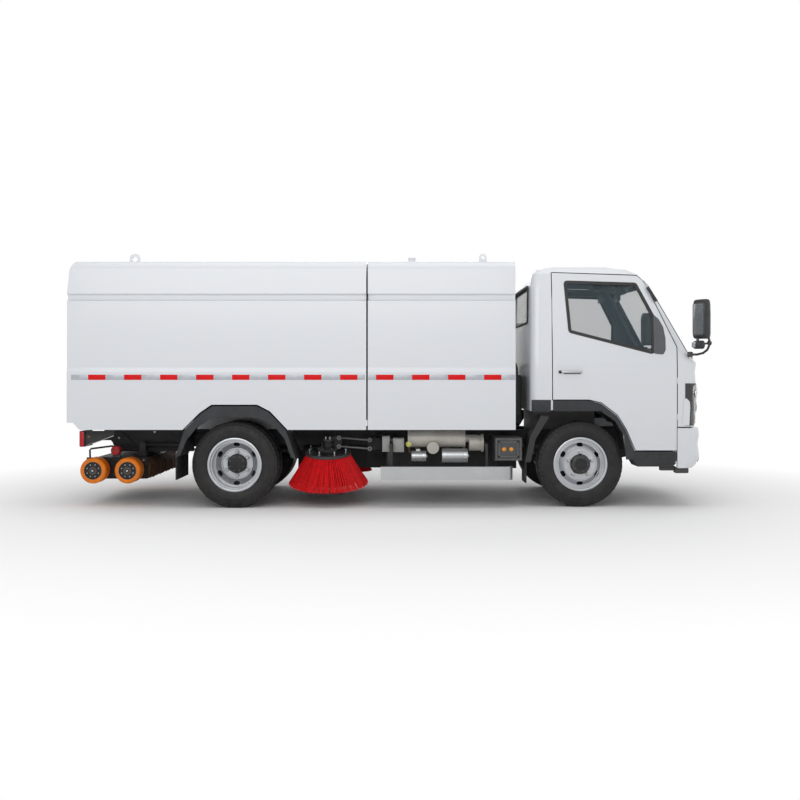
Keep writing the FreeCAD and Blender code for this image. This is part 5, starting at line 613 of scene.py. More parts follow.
for side_name, side in SIDES:
    front_body = "wheel_front_" + side_name
    rear_body = "wheels_rear_" + side_name
    tyre("tyre_front_" + side_name, FRONT_AXLE, FRONT_TYRE_Y, side, front_body, "front_tyre_" + side_name)
    tyre("tyre_rear_outer_" + side_name, REAR_AXLE, REAR_OUTER_TYRE_Y, side, rear_body,
         "rear_tyres_" + side_name)
    tyre("tyre_rear_inner_" + side_name, REAR_AXLE, REAR_INNER_TYRE_Y, side, rear_body, None)


# Side brushes


def joint_place(name):
    """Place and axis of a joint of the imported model."""
    joint = next(j for j in frame["joints"] if j["name"] == name)
    return Vector(joint["pos_m"]), Vector(joint["axis"]).normalized()


TUFTS = 36
TUFT_BRISTLES = 34


def bristles(side_name, side):
    """Tufts of single bristles that flare and end unevenly, under a bolted disc."""
    rng = random.Random(7)
    pos, axis = joint_place("brush_spin_" + side_name)
    turn = Vector((0.0, 0.0, 1.0)).rotation_difference(axis).to_matrix()
    top = pos + axis * ((BRUSH_TOP_Z - pos.z) / axis.z)
    form = Form()
    for tuft in range(TUFTS):
        middle = TAU * tuft / TUFTS
        for i in range(TUFT_BRISTLES):
            across = (2.0 * ((i * 0.618) % 1.0) - 1.0) * 0.41 * TAU / TUFTS
            layer = (i % 4) / 3.0
            root = 0.196 - 0.04 * layer
            tip = 0.358 - 0.034 * layer + rng.uniform(-0.006, 0.003)
            drop = 0.298 * rng.uniform(0.965, 1.0)
            sway = rng.uniform(-0.012, 0.012)
            points = []
            for k in range(4):
                way = k / 3.0
                r = root + (tip - root) * (0.86 * way + 0.14 * way * way)
                t = middle + across + sway * way * way
                points.append(top + turn @ Vector((r * math.cos(t), r * math.sin(t),
                                                   -0.022 - (drop - 0.022) * way)))
            form.tube(points, 0.0025, 3)
    made = form.piece("bristles_" + side_name, bristle_red, "side_brush_" + side_name, "brush_red", 80.0)
    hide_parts("side_brush_" + side_name)
    # The solid cone under the tufts, in the darker bristle red, is painted shade for the packed inner bristles.
    core = Form().lathe([(-0.024, 0.12), (-0.024, 0.178), (-0.15, 0.222), (-0.262, 0.282), (-0.262, 0.27),
                         (-0.15, 0.208), (-0.03, 0.15), (-0.03, 0.12)], top, axis, 72)
    core.piece("brush_core_" + side_name, bristle_painted_shade, "side_brush_" + side_name, "brush_red")
    plate = Form().lathe([(-0.026, 0.0), (-0.026, 0.206), (-0.02, 0.209), (-0.004, 0.209), (0.0, 0.205),
                          (0.0, 0.12), (0.004, 0.112), (0.004, 0.0)], top, axis, 64)
    studs = Form()
    for i in range(8):
        t = TAU * (i + 0.5) / 8.0
        spot = top + turn @ Vector((0.175 * math.cos(t), 0.175 * math.sin(t), 0.0))
        studs.lathe([(-0.001, 0.0), (-0.001, 0.011), (0.006, 0.011), (0.006, 0.0065), (0.03, 0.0065),
                     (0.03, 0.01), (0.037, 0.01), (0.038, 0.0)], spot, axis, 12)
    plate.piece("brush_plate_" + side_name, hub_black, "side_brush_" + side_name)
    studs.piece("brush_studs_" + side_name, steel, "side_brush_" + side_name, "bright_steel")


for side_name, side in SIDES:
    bristles(side_name, side)


# Reflective tape along the box

TAPE_LOW = 1.127
TAPE_HIGH = 1.173
TAPE_START = -1416.0
TAPE_PITCH = 314.0
TAPE_RED = 152.0


def tape(low, high, body, name):
    """Red and silver lengths of tape on both sides of one box, between two distances ahead."""
    for finish, label, first, length in ((tape_red, "red", TAPE_START + 148.0, TAPE_RED),
                                         (tape_silver, "silver", TAPE_START - 14.0, TAPE_PITCH - TAPE_RED)):
        form = Form()
        place = first
        while place < high:
            a, b = max(place, low), min(place + length, high)
            if b - a > 20.0:
                for side_name, side in SIDES:
                    form.block((ahead(a), side * 0.9899, TAPE_LOW), (ahead(b), side * 0.9908, TAPE_HIGH),
                               0.0002)
            place += TAPE_PITCH
        form.piece(name + "_tape_" + label, finish, body)


tape(-1416.0, 1146.0, "hopper", "hopper")
tape(1176.0, 2458.0, "chassis", "compartment")


# Door windows, windscreen and their rubber

WINDOW = ((2905.0, 2006.0), (3545.0, 1986.0), (3700.0, 1690.0), (3700.0, 1352.0), (2945.0, 1548.0))
QUARTER = ((3694.0, 1706.0), (3740.0, 1664.0), (3778.0, 1594.0), (3797.0, 1493.0), (3797.0, 1393.0),
           (3776.0, 1350.0), (3694.0, 1358.0))


def flat_outline(points):
    """(x, z) outline in metres from pairs of distance ahead and height in millimetres."""
    return [Vector((ahead(a), z / 1000.0)) for a, z in points]


for side_name, side in SIDES:
    body = "door_" + side_name
    opening = rounded(flat_outline(WINDOW), 0.034, 6)
    form = Form().band(on_side(offset(opening, 0.004), side, 0.002), on_side(offset(opening, -0.024), side,
                                                                             0.002), (0.0, -side * 0.014, 0.0))
    form.piece("window_rubber_" + side_name, glazing_rubber, body, "black_plastic")
    form = Form().prism(on_side(rounded(flat_outline(QUARTER), 0.02, 4), side, 0.0025),
                        (0.0, -side * 0.006, 0.0))
    form.piece("quarter_panel_" + side_name, dark_trim, body, "black_plastic")

SCREEN = [Vector(p) for p in ((-0.77, 1.345), (0.77, 1.345), (0.7, 2.02), (-0.7, 2.02))]


def subdivided(outline, step):
    """Outline with points added, so that none are further apart than a step."""
    points = []
    for i, p in enumerate(outline):
        q = outline[(i + 1) % len(outline)]
        count = max(1, int((q - p).length / step))
        points += [p + (q - p) * (k / count) for k in range(count)]
    return points


screen_edge = subdivided(rounded(SCREEN, 0.06, 5), 0.05)
form = Form().band(on_front(offset(screen_edge, 0.01), 0.013), on_front(offset(screen_edge, -0.026), 0.013),
                   (-0.024, 0.0, 0.0))
form.piece("screen_rubber", glazing_rubber, "cab", "black_plastic")


# Seats


def cushion(name, low, high, lean, top_crown):
    """Foam pad: a rounded box whose faces swell and whose sides pull in between the corners."""
    low, high = Vector(low), Vector(high)
    size = high - low
    counts = [max(6, int(s / 0.03)) for s in size]
    form = Form()
    middle = (low + high) / 2.0
    half = size / 2.0
    grid = {}

    def vert(i, j, k):
        key = (i, j, k)
        if key not in grid:
            u = [2.0 * a / c - 1.0 for a, c in zip(key, counts)]
            power = 7.0
            norm = sum(abs(a) ** power for a in u) ** (1.0 / power)
            big = max(abs(a) for a in u)
            u = [a * big / norm for a in u]
            p = Vector(a * h for a, h in zip(u, half))
            for axis in range(3):
                others = [n for n in range(3) if n != axis]
                swell = (1.0 - u[others[0]] ** 2) * (1.0 - u[others[1]] ** 2)
                p[axis] += u[axis] * top_crown * (swell - 0.9)
            p.x += lean * (p.z + half.z)
            grid[key] = form.mesh.verts.new(middle + p)
        return grid[key]

    nx, ny, nz = counts
    for i in range(nx):
        for j in range(ny):
            form.mesh.faces.new((vert(i, j, 0), vert(i, j + 1, 0), vert(i + 1, j + 1, 0), vert(i + 1, j, 0)))
            form.mesh.faces.new((vert(i, j, nz), vert(i + 1, j, nz), vert(i + 1, j + 1, nz),
                                 vert(i, j + 1, nz)))
    for i in range(nx):
        for k in range(nz):
            form.mesh.faces.new((vert(i, 0, k), vert(i + 1, 0, k), vert(i + 1, 0, k + 1), vert(i, 0, k + 1)))
            form.mesh.faces.new((vert(i, ny, k), vert(i, ny, k + 1), vert(i + 1, ny, k + 1),
                                 vert(i + 1, ny, k)))
    for j in range(ny):
        for k in range(nz):
            form.mesh.faces.new((vert(0, j, k), vert(0, j, k + 1), vert(0, j + 1, k + 1), vert(0, j + 1, k)))
            form.mesh.faces.new((vert(nx, j, k), vert(nx, j + 1, k), vert(nx, j + 1, k + 1),
                                 vert(nx, j, k + 1)))
    made = form.piece(name, cloth, "cab", "cloth", 60.0)
    smooth = made.modifiers.new("smooth", "SUBSURF")
    smooth.levels = 1
    smooth.render_levels = 1
    return made


SEAT_Z = 0.962
for label, y0, y1 in (("driver", 0.23, 0.72), ("passenger", -0.72, -0.25), ("middle", -0.24, 0.21)):
    pad = cushion("seat_pad_" + label, (ahead(2885.0), y0 + 0.004, SEAT_Z + 0.002),
                  (ahead(3396.0), y1 - 0.004, SEAT_Z + 0.124), 0.0, 0.016)
    cushion("seat_back_" + label, (ahead(2808.0), y0 + 0.004, SEAT_Z + 0.11),
            (ahead(2898.0), y1 - 0.004, SEAT_Z + 0.636), -0.062, 0.014)
    middle_y = (y0 + y1) / 2.0
    cushion("head_rest_" + label, (ahead(2774.0), middle_y - 0.128, SEAT_Z + 0.664),
            (ahead(2838.0), middle_y + 0.128, SEAT_Z + 0.818), -0.05, 0.01)
    posts = Form()
    for dy in (-0.05, 0.05):
        posts.tube([(ahead(2803.0), middle_y + dy, SEAT_Z + 0.6), (ahead(2803.0), middle_y + dy, SEAT_Z + 0.7)],
                   0.006, 10)
    posts.piece("head_rest_posts_" + label, chrome, "cab")
    if label == "driver":
        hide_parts("seats")


# Finishes of single faces

FAR = 9.0


def reline(node, middle, lowest, finish):
    """Gives the faces that look towards the middle of a room another finish."""
    mesh = nodes[node].data
    mesh.materials.append(finish.material)
    index = len(mesh.materials) - 1
    for face in mesh.polygons:
        if face.center.z > lowest and face.normal.dot(Vector(middle) - face.center) > 0.1:
            face.material_index = index


CAB_MIDDLE = (ahead(3250.0), 0.0, 1.45)
reline("cab_shell", CAB_MIDDLE, 0.85, cab_lining)
for side_name, side in SIDES:
    reline("door_" + side_name, CAB_MIDDLE, 0.5, cab_lining)
    for link in ("brush_lower_link_", "brush_upper_link_"):
        nodes[link + side_name].data.materials[0] = link_steel.material
repaint("cab_shell", (ahead(2620.0), -0.895, 0.49), (ahead(3475.0), 0.895, 0.962), chassis_black)
# The mudguards' inner faces take the darker chassis black as painted shade inside the wheel arches.
repaint("mudguards", (-FAR, -0.972, 0.0), (FAR, 0.972, FAR), chassis_black)
repaint("side_guards", (-FAR, -FAR, 0.37), (FAR, FAR, FAR), chassis_black)
repaint("suction_nozzle", (-FAR, -0.13, 0.43), (FAR, 0.13, FAR), duct_grey)
repaint("suction_nozzle", (ahead(-851.0), -0.595, 0.2), (ahead(-780.0), 0.595, 0.425), skirt_brown)
repaint("equipment_boxes", (ahead(1290.0), -0.89, 0.48), (ahead(1495.0), -0.69, 0.64), box_grey)
repaint("equipment_boxes", (ahead(2280.0), -0.91, 0.4), (ahead(2540.0), -0.51, 0.64), battery_grey)
repaint("exhaust_muffler", (-FAR, -FAR, 0.0), (FAR, FAR, FAR), muffler_grey)
repaint("dashboard", (ahead(3200.0), 0.15, 1.2), (ahead(3600.0), 0.7, FAR), hub_black)
repaint("headlamps", (-FAR, -FAR, 0.0), (FAR, FAR, FAR), lamp_black)
for side_name, side in SIDES:
    repaint("brush_head_" + side_name, (-FAR, -FAR, 0.5), (FAR, FAR, FAR), hub_black)


# Wheels: rolled rim flanges, hub caps, wheel nuts and valves


NUT_HEIGHT = 0.03
VALVE_RADIUS = 0.2
VALVE_TURN = math.radians(-55.0)
BEAD_OUT = 0.085
STUD = NUT_HEIGHT + 0.01
NUT_PROFILES = (
    ([(0.0, 0.0), (0.0, 0.02), (0.004, 0.0195), (0.006, 0.0168), (0.006, 0.0)], 24),
    ([(0.005, 0.0), (0.005, 0.0158), (NUT_HEIGHT - 0.003, 0.0158), (NUT_HEIGHT, 0.0138), (NUT_HEIGHT, 0.0)], 6),
    ([(NUT_HEIGHT - 0.001, 0.0), (NUT_HEIGHT - 0.001, 0.0095), (NUT_HEIGHT + 0.008, 0.0095), (STUD, 0.0075),
      (STUD, 0.0)], 16),
)
FLANGE = [(0.0, 0.219), (0.006, 0.2178), (0.011, 0.22), (0.0125, 0.225), (0.0125, 0.232), (0.0105, 0.2375),
          (0.0065, 0.2395), (0.004, 0.237), (0.0045, 0.23), (0.0, 0.2272)]
BARREL_RING = [(0.0, 0.211), (0.002, 0.2085), (0.008, 0.2085), (0.01, 0.211)]

# Each axle: x, wheel body, disc face, cap face, cap, cap bolts (count, first, circle, profile),
# wheel nuts (count, circle) and rings (face, profile)
AXLES = (
    ("front", FRONT_AXLE, "wheel_front_", FRONT_DISC_Y, 0.843,
     [(0.0, 0.0), (0.0, 0.089), (0.004, 0.089), (0.008, 0.0835), (0.03, 0.0822), (0.036, 0.079),
      (0.04, 0.07), (0.0405, 0.05), (0.036, 0.047), (0.036, 0.0)],
     (5, 0.0, 0.06, disc(0.006, 0.042, 0.034)), (5, 0.108),
     ((FRONT_DISC_Y, [(0.0, 0.148), (0.003, 0.15), (0.006, 0.148), (0.006, 0.142), (0.003, 0.14),
                      (0.0, 0.142)]),
      (0.8125, [(0.0, 0.205), (0.004, 0.2065), (0.007, 0.204), (0.007, 0.198), (0.0, 0.196)]))),
    ("rear", REAR_AXLE, "wheels_rear_", REAR_DISC_Y, 0.768,
     [(0.0, 0.0), (0.0, 0.086), (0.03, 0.0845), (0.036, 0.081), (0.04, 0.074), (0.043, 0.05),
      (0.044, 0.0)],
     (8, 0.5, 0.064, disc(0.007, 0.046, 0.036)), (6, 0.104),
     ((REAR_DISC_Y, [(0.0, 0.144), (0.006, 0.144), (0.012, 0.1405), (0.012, 0.133), (0.006, 0.13),
                     (0.0, 0.13)]),
      (0.886, BARREL_RING), (0.856, BARREL_RING), (0.832, BARREL_RING))),
)


def on_axle(form, profile, x, y, side, steps, dx=0.0, dz=0.0):
    """Turned shape on a wheel, its profile running outward from a distance across."""
    return form.lathe(profile, (x + dx, side * y, AXLE_Z + dz), (0.0, side, 0.0), steps)


def nut_ring(form, x, y, side, count, circle):
    """Ring of flanged hexagon nuts with their stud ends, on a wheel's disc."""
    for i in range(count):
        t = math.radians(90.0) + TAU * i / count
        for profile, steps in NUT_PROFILES:
            on_axle(form, profile, x, y, side, steps, circle * math.cos(t), circle * math.sin(t))


for side_name, side in SIDES:
    for label, x, body, face in (("front", FRONT_AXLE, "wheel_front_", FRONT_TYRE_Y),
                                 ("rear_outer", REAR_AXLE, "wheels_rear_", REAR_OUTER_TYRE_Y),
                                 ("rear_inner", REAR_AXLE, "wheels_rear_", REAR_INNER_TYRE_Y)):
        form = Form()
        for out in (1.0, -1.0):
            y = round(face - HALF_TYRE, 3) + out * BEAD_OUT
            on_axle(form, [(out * a, r) for a, r in FLANGE], x, y, side, 96)
        form.piece("rim_flange_" + label + "_" + side_name, rim_silver, body + side_name, "rim_paint")
    for label, x, body, disc_y, cap_y, cap, bolts, nuts, rings in AXLES:
        body += side_name
        form = on_axle(Form(), cap, x, cap_y, side, 64)
        count, first, circle, head = bolts
        for i in range(count):
            t = TAU * (i + first) / count
            on_axle(form, head, x, cap_y, side, 6, circle * math.cos(t), circle * math.sin(t))
        form.piece("hub_cap_" + label + "_" + side_name, hub_black, body)
        form = Form()
        nut_ring(form, x, disc_y, side, *nuts)
        form.piece("wheel_nuts_" + label + "_" + side_name, steel, body, "bright_steel", 30.0)
        form = Form()
        for y, profile in rings:
            on_axle(form, profile, x, y, side, 96)
        form.piece("disc_rings_" + label + "_" + side_name, rim_silver, body, "rim_paint")
    for body, x, y in (("wheel_front_", FRONT_AXLE, 0.822), ("wheels_rear_", REAR_AXLE, 0.832)):
        px, pz = x + VALVE_RADIUS * math.cos(VALVE_TURN), AXLE_Z + VALVE_RADIUS * math.sin(VALVE_TURN)
        form = Form().tube([(px, side * y, pz), (px, side * (y + 0.016), pz), (px - 0.006, side * (y + 0.034),
                                                                               pz + 0.008)], 0.0042, 10)
        form.piece("valve_" + body + side_name, chrome, body + side_name)


for side_name, side in SIDES:
    form = Form().lathe([(-0.002, 0.032), (-0.002, 0.199), (0.002, 0.199), (0.006, 0.19), (0.006, 0.032)],
                        (FRONT_AXLE, side * 0.705, AXLE_Z), (0.0, side, 0.0), 64)
    form.piece("brake_plate_" + side_name, hub_black, "knuckle_" + side_name, "frame_paint")


# Side brush motors and their fittings

for side_name, side in SIDES:
    pos, axis = joint_place("brush_spin_" + side_name)
    top = pos + axis * ((BRUSH_TOP_Z - pos.z) / axis.z)
    body = "brush_head_" + side_name
    form = Form().lathe(disc(0.094, 0.0215, 0.019), top, axis, 48)
    for i in range(6):
        t = TAU * i / 6.0
        spot = top + Vector((0.078 * math.cos(t), 0.078 * math.sin(t), 0.0))
        form.lathe(disc(0.0085, 0.028, 0.019), spot, axis, 6)
    form.lathe([(0.102, 0.0), (0.102, 0.047), (0.108, 0.044), (0.11, 0.02), (0.11, 0.0)], top, axis, 40)
    form.lathe([(0.06, 0.0465), (0.062, 0.048), (0.07, 0.048), (0.072, 0.0465)], top, axis, 40)
    form.piece("brush_motor_" + side_name, hub_black, body)
    form = Form()
    for dx in (-0.018, 0.018):
        start = top + axis * 0.108 + Vector((dx, 0.0, 0.0))
        form.lathe([(0.0, 0.0), (0.0, 0.012), (0.014, 0.012), (0.014, 0.008), (0.026, 0.008), (0.026, 0.0)],
                   start, axis, 6)
    form.piece("brush_motor_ports_" + side_name, steel, body, "bright_steel")


# Nozzle rollers

for side_name, side in SIDES:
    for label, place in (("front", -976.0), ("rear", -1284.0)):
        body = "roller_" + label + "_" + side_name
        form = Form().lathe([(-0.015, 0.034), (-0.015, 0.0775), (-0.0015, 0.08), (0.0015, 0.079),
                             (0.0012, 0.074), (-0.006, 0.07), (-0.006, 0.04), (0.001, 0.037), (0.001, 0.02),
                             (-0.015, 0.02)], (ahead(place), side * ROLLER_Y, ROLLER_Z), (0.0, side, 0.0), 48)
        form.piece("roller_hub_" + label + "_" + side_name, hub_black, body)
        form = Form()
        for i in range(8):
            t = TAU * (i + 0.5) / 8.0
            spot = (ahead(place) + 0.055 * math.cos(t), side * 0.7945, ROLLER_Z + 0.055 * math.sin(t))
            form.lathe([(0.0, 0.0), (0.0, 0.0062), (0.006, 0.0062), (0.0072, 0.005), (0.0072, 0.0)], spot,
                       (0.0, side, 0.0), 6)
        form.piece("roller_bolts_" + label + "_" + side_name, steel, body, "bright_steel", 30.0)
        form = Form().lathe([(0.006, 0.0), (0.006, 0.011), (0.01, 0.011), (0.012, 0.0095), (0.012, 0.0)],
                            (ahead(place), side * ROLLER_Y, ROLLER_Z), (0.0, side, 0.0), 6)
        form.piece("roller_axle_nut_" + label + "_" + side_name, steel, "nozzle", "bright_steel", 30.0)


# Suction nozzle: wavy skirt, duct cuff, red motor and pipes

form = Form()
wave_count = 96
waves = []
for i in range(wave_count + 1):
    t = i / wave_count
    y = -0.588 + 1.176 * t
    swing = 0.006 * math.sin(TAU * 9.0 * t) + 0.003 * math.sin(TAU * 23.0 * t + 1.0)
    drop = 0.006 * math.sin(TAU * 13.0 * t + 0.6)
    waves.append((y, swing, drop))
rows = ((0.405, 0.3), (0.352, 0.6), (0.3, 0.9), (0.262, 1.0), (0.232, 1.2))
grid = []
for depth in (0.016, 0.009):
    sheet = []
    for z, share in rows:
        x0 = ahead(-850.0) if z < 0.365 else ahead(-850.0) - (z - 0.36)
        sheet.append([form.mesh.verts.new((x0 + depth + share * swing, y,
                                           z + (drop if z == rows[-1][0] else 0.0))) for y, swing,
                      drop in waves])
    grid.append(sheet)
form.sheet(*grid)
form.piece("nozzle_skirt", skirt_brown, "nozzle", "flap_rubber", 60.0)
form = Form()
for i in range(12):
    y = -0.55 + 0.1 * i
    form.lathe(disc(0.008, 0.006), (ahead(-850.0) + 0.012 - 0.045, y, 0.398), (1.0, 0.0, 0.6), 6)
form.piece("nozzle_skirt_bolts", steel, "nozzle", "bright_steel")
form = Form().lathe([(0.0, 0.1185), (0.0, 0.128), (0.018, 0.129), (0.022, 0.123), (0.06, 0.122), (0.064, 0.126),
                     (0.078, 0.126), (0.082, 0.122), (0.12, 0.122), (0.124, 0.126), (0.138, 0.126),
                     (0.142, 0.122), (0.18, 0.122), (0.18, 0.1185)], (ahead(-1010.0), 0.0, 0.44),
                    (0.0, 0.0, 1.0), 56)
form.piece("duct_cuff", duct_grey, "nozzle", "flap_rubber")
for side_name, side in SIDES:
    form = Form()
    motor = (ahead(-1130.0), side * 0.545, 0.484)
    form.lathe([(0.0, 0.0), (0.0, 0.034), (0.01, 0.042), (0.085, 0.042), (0.092, 0.038), (0.095, 0.02),
                (0.095, 0.0)], motor, (0.0, side, 0.0), 40)
    form.piece("nozzle_motor_" + side_name, red_paint, "nozzle")
    form = Form().block((ahead(-1165.0), side * 0.56, 0.419), (ahead(-1095.0), side * 0.6, 0.448), 0.004)
    for dx in (-0.022, 0.022):
        form.lathe(disc(0.009, 0.106, 0.094), (motor[0] + dx, motor[1], motor[2] + 0.004), (0.0, side, 0.0), 6)
    form.piece("nozzle_motor_foot_" + side_name, hub_black, "nozzle")
    form = Form().tube([(ahead(-1372.0), side * 0.586, 0.418), (ahead(-1374.0), side * 0.586, 0.485),
                        (ahead(-1364.0), side * 0.586, 0.498), (ahead(-1171.0), side * 0.592, 0.523),
                        (ahead(-1140.0), side * 0.6, 0.516)], 0.0085, 10)
    form.piece("nozzle_pipes_" + side_name, chassis_black, "nozzle", "frame_paint", 60.0)
    form = Form()
    for place in (-1340.0, -1290.0, -930.0, -880.0):
        form.lathe([(0.0, 0.0), (0.0, 0.011), (0.007, 0.011), (0.009, 0.008), (0.009, 0.0)],
                   (ahead(place), side * 0.5995, 0.395), (0.0, side, 0.0), 6)
    form.piece("nozzle_plate_bolts_" + side_name, steel, "nozzle", "bright_steel")


# Rear lamps, their stays and fittings

for side_name, side in SIDES:
    rear = ahead(-1372.0)
    for label, finish, y0, y1, x1 in (("reverse", lens_clear, 0.643, 0.712, 0.002),
                                      ("turn", lens_amber, 0.716, 0.793, 0.002),
                                      ("tail", lens_red, 0.797, 0.883, 0.034)):
        form = Form().block((rear - 0.006, side * y0, 0.539), (rear + x1, side * y1, 0.6735), 0.003)
        form.piece("rear_lamp_" + label + "_" + side_name, finish, "chassis")
    form = Form().block((rear - 0.002, side * 0.6445, 0.542), (rear + 0.001, side * 0.7105, 0.67), 0.0005)
    form.piece("rear_lamp_mirror_" + side_name, reflector, "chassis")
    form = Form().lathe([(0.0, 0.0), (0.0, 0.015), (0.004, 0.015), (0.006, 0.012), (0.01, 0.011),
                         (0.013, 0.006), (0.0135, 0.0)], (ahead(-1299.0), side * 0.8615, 0.625),
                        (0.0, side, 0.0), 24)
    form.piece("side_marker_" + side_name, marker_dim, "chassis")
    form = Form()
    for z in (0.0, 0.022):
        form.tube([(ahead(-1336.0), side * 0.8455, 0.545 + z), (ahead(-1085.0), side * 0.8455, 0.632 + z)],
                  0.0065, 10)
    form.piece("lamp_stay_rods_" + side_name, steel, "chassis", "bright_steel")
    form = Form().lathe([(0.0, 0.0), (0.0, 0.011), (0.022, 0.011), (0.026, 0.008), (0.026, 0.0)],
                        (ahead(-835.0), side * 0.3495, 0.638), (0.0, side, 0.0), 24)
    form.lathe(disc(0.009, 0.03), (ahead(-1167.0), side * 0.3495, 0.584), (0.0, side, 0.0), 6)
    form.piece("rail_fittings_" + side_name, white_plastic, "chassis")
    form = Form().block((ahead(2611.0), side * 0.899, 0.846), (ahead(2783.0), side * 0.9032, 0.951), 0.0015)
    form.piece("rear_valance_" + side_name, black_plastic, "cab", "black_plastic")
form = Form().block((ahead(-1340.0), -0.22, 0.555), (ahead(-1334.0), 0.22, 0.645), 0.002)
form.piece("rear_plate", plate_white, "chassis")


# Things under the compartment

form = Form()
for x in (ahead(1526.0), ahead(1778.5), ahead(2019.0)):
    form.lathe([(-0.001, 0.084), (-0.001, 0.0868), (0.013, 0.0868), (0.013, 0.084)], (x, MUFFLER_Y, MUFFLER_Z),
               (1.0, 0.0, 0.0), 56)
    form.block((x - 0.002, MUFFLER_Y - 0.018, MUFFLER_Z - 0.1),
               (x + 0.014, MUFFLER_Y - 0.002, MUFFLER_Z - 0.084), 0.002)
form.lathe([(0.0, 0.078), (0.0, 0.0805), (0.02, 0.0805), (0.02, 0.078)], (ahead(2178.0), MUFFLER_Y, 0.562),
           (1.0, 0.0, 0.0), 48)
form.piece("muffler_bands", muffler_grey, "chassis", "bright_steel")
form = Form().lathe([(0.0, 0.0), (0.0, 0.027), (0.016, 0.027), (0.02, 0.023), (0.026, 0.022), (0.028, 0.016),
                     (0.028, 0.0)], (ahead(1530.0), -0.8, 0.556), (0.0, -1.0, 0.0), 20)
form.tube([(ahead(1530.0), -0.806, 0.556), (ahead(1530.0), MUFFLER_Y, 0.556)], 0.018, 14)
form.piece("filler_cap", cap_yellow, "chassis")
form = Form().tube([(ahead(1527.0), -0.802, 0.545), (ahead(1530.0), -0.812, 0.515),
                    (ahead(1538.0), -0.815, 0.49), (ahead(1558.0), -0.815, 0.47)], 0.009, 12)
form.piece("filler_hose", skirt_brown, "chassis", "flap_rubber", 60.0)
form = Form()
for a0, a1, z, r in ((1556.0, 1684.0, 0.45, 0.046), (1826.0, 2052.0, 0.455, 0.062)):
    for x in (ahead(a0) + 0.018, ahead(a1) - 0.03):
        form.lathe([(0.0, r), (0.0, r + 0.0022), (0.012, r + 0.0022), (0.012, r)], (x, TANK_Y, z),
                   (1.0, 0.0, 0.0), 40)
    form.lathe(disc(0.012, 0.014), (ahead(a1), TANK_Y, z), (1.0, 0.0, 0.0), 6)
form.piece("tank_bands", steel, "chassis", "bright_steel")
form = Form().block((ahead(1341.0), -0.862, 0.365), (ahead(1391.0), -0.806, 0.498), 0.005)
for z in (0.4, 0.45):
    form.lathe(disc(0.009, 0.006), (ahead(1366.0), -0.8615, z), (0.0, -1.0, 0.0), 6)
form.piece("valve_post", black_plastic, "chassis", "black_plastic")
form = Form().block((ahead(1300.0), -0.886, 0.5), (ahead(1358.0), -0.879, 0.618), 0.003)
form.block((ahead(1398.0), -0.886, 0.498), (ahead(1482.0), -0.879, 0.6), 0.003)
for a, z in ((1312.0, 0.51), (1346.0, 0.51), (1312.0, 0.608), (1346.0, 0.608), (1408.0, 0.508), (1472.0, 0.508),
             (1408.0, 0.59), (1472.0, 0.59)):
    form.lathe(disc(0.005, 0.004), (ahead(a), -0.8855, z), (0.0, -1.0, 0.0), 6)
form.piece("valve_covers", box_grey, "chassis")
form = Form()
outer = rounded(rectangle(ahead(2296.0), 0.422, ahead(2522.0), 0.61), 0.018, 4)
for inset in (0.0, 0.026):
    rims = [offset(outer, -inset), offset(outer, -inset - 0.01)]
    form.band(*([(p.x, BATTERY_Y, p.y) for p in rim] for rim in rims), (0.0, -0.007, 0.0))
form.piece("battery_cover_frame", frame_grey, "chassis")
form = Form()
for a in (2370.0, 2433.0):
    form.lathe([(0.0, 0.0), (0.0, 0.018), (0.003, 0.018), (0.007, 0.012), (0.008, 0.0)],
               (ahead(a), -0.8995, 0.516), (0.0, -1.0, 0.0), 24)
form.piece("battery_reflectors", lens_amber, "chassis")
form = Form()
for side_name, side in SIDES:
    form.block((ahead(1167.0), side * 0.96, 0.702), (ahead(1173.0), side * 0.974, 2.14), 0.001)
form.block((ahead(1167.0), -0.96, 0.702), (ahead(1173.0), 0.96, 0.716), 0.001)
form.piece("box_seam", flap_rubber, "chassis", "flap_rubber")
# Dark screen hung below the near frame rail, with bolts and ribs: painted shade that blacks out the view under the
# compartment.
form = Form().block((ahead(1320.0), -0.36, 0.3), (ahead(2540.0), -0.3515, 0.56), 0.003)
for a in range(1380, 2440, 150):
    form.lathe(disc(0.01, 0.007), (ahead(float(a)), -0.3595, 0.545), (0.0, -1.0, 0.0), 6)
    form.block((ahead(a + 60.0), -0.366, 0.31), (ahead(a + 72.0), -0.359, 0.52), 0.002)
form.piece("painted_shade_screen_side", chassis_black, "chassis", "frame_paint")
# Dark screens either side of the middle, with ribs: painted shade that hides the far brush under the truck.
form = Form()
for side_name, side in SIDES:
    form.block((ahead(480.0), side * 0.125, 0.285), (ahead(1340.0), side * 0.131, 0.595), 0.002)
    for a in range(600, 1330, 130):
        form.block((ahead(float(a)), side * 0.13, 0.295), (ahead(a + 10.0), side * 0.137, 0.585), 0.002)
form.piece("painted_shade_screens_middle", chassis_black, "chassis", "frame_paint")
form = Form()
for side_name, side in SIDES:
    form.block((ahead(-1225.0), side * 0.295, 0.456), (ahead(-480.0), side * 0.345, 0.5198), 0.004)
    for z in (0.47, 0.486, 0.502):
        form.tube([(ahead(-1215.0), side * 0.347, z), (ahead(-490.0), side * 0.347, z)], 0.0055, 8)
form.piece("hose_trays", chassis_black, "chassis", "frame_paint")
form = Form().block((ahead(2466.0), -0.62, 0.73), (ahead(2556.0), 0.62, 1.17), 0.01)
for k in range(12):
    y = -0.59 + 0.105 * k
    form.block((ahead(2550.0), y, 0.75), (ahead(2562.0), y + 0.02, 1.15), 0.003)
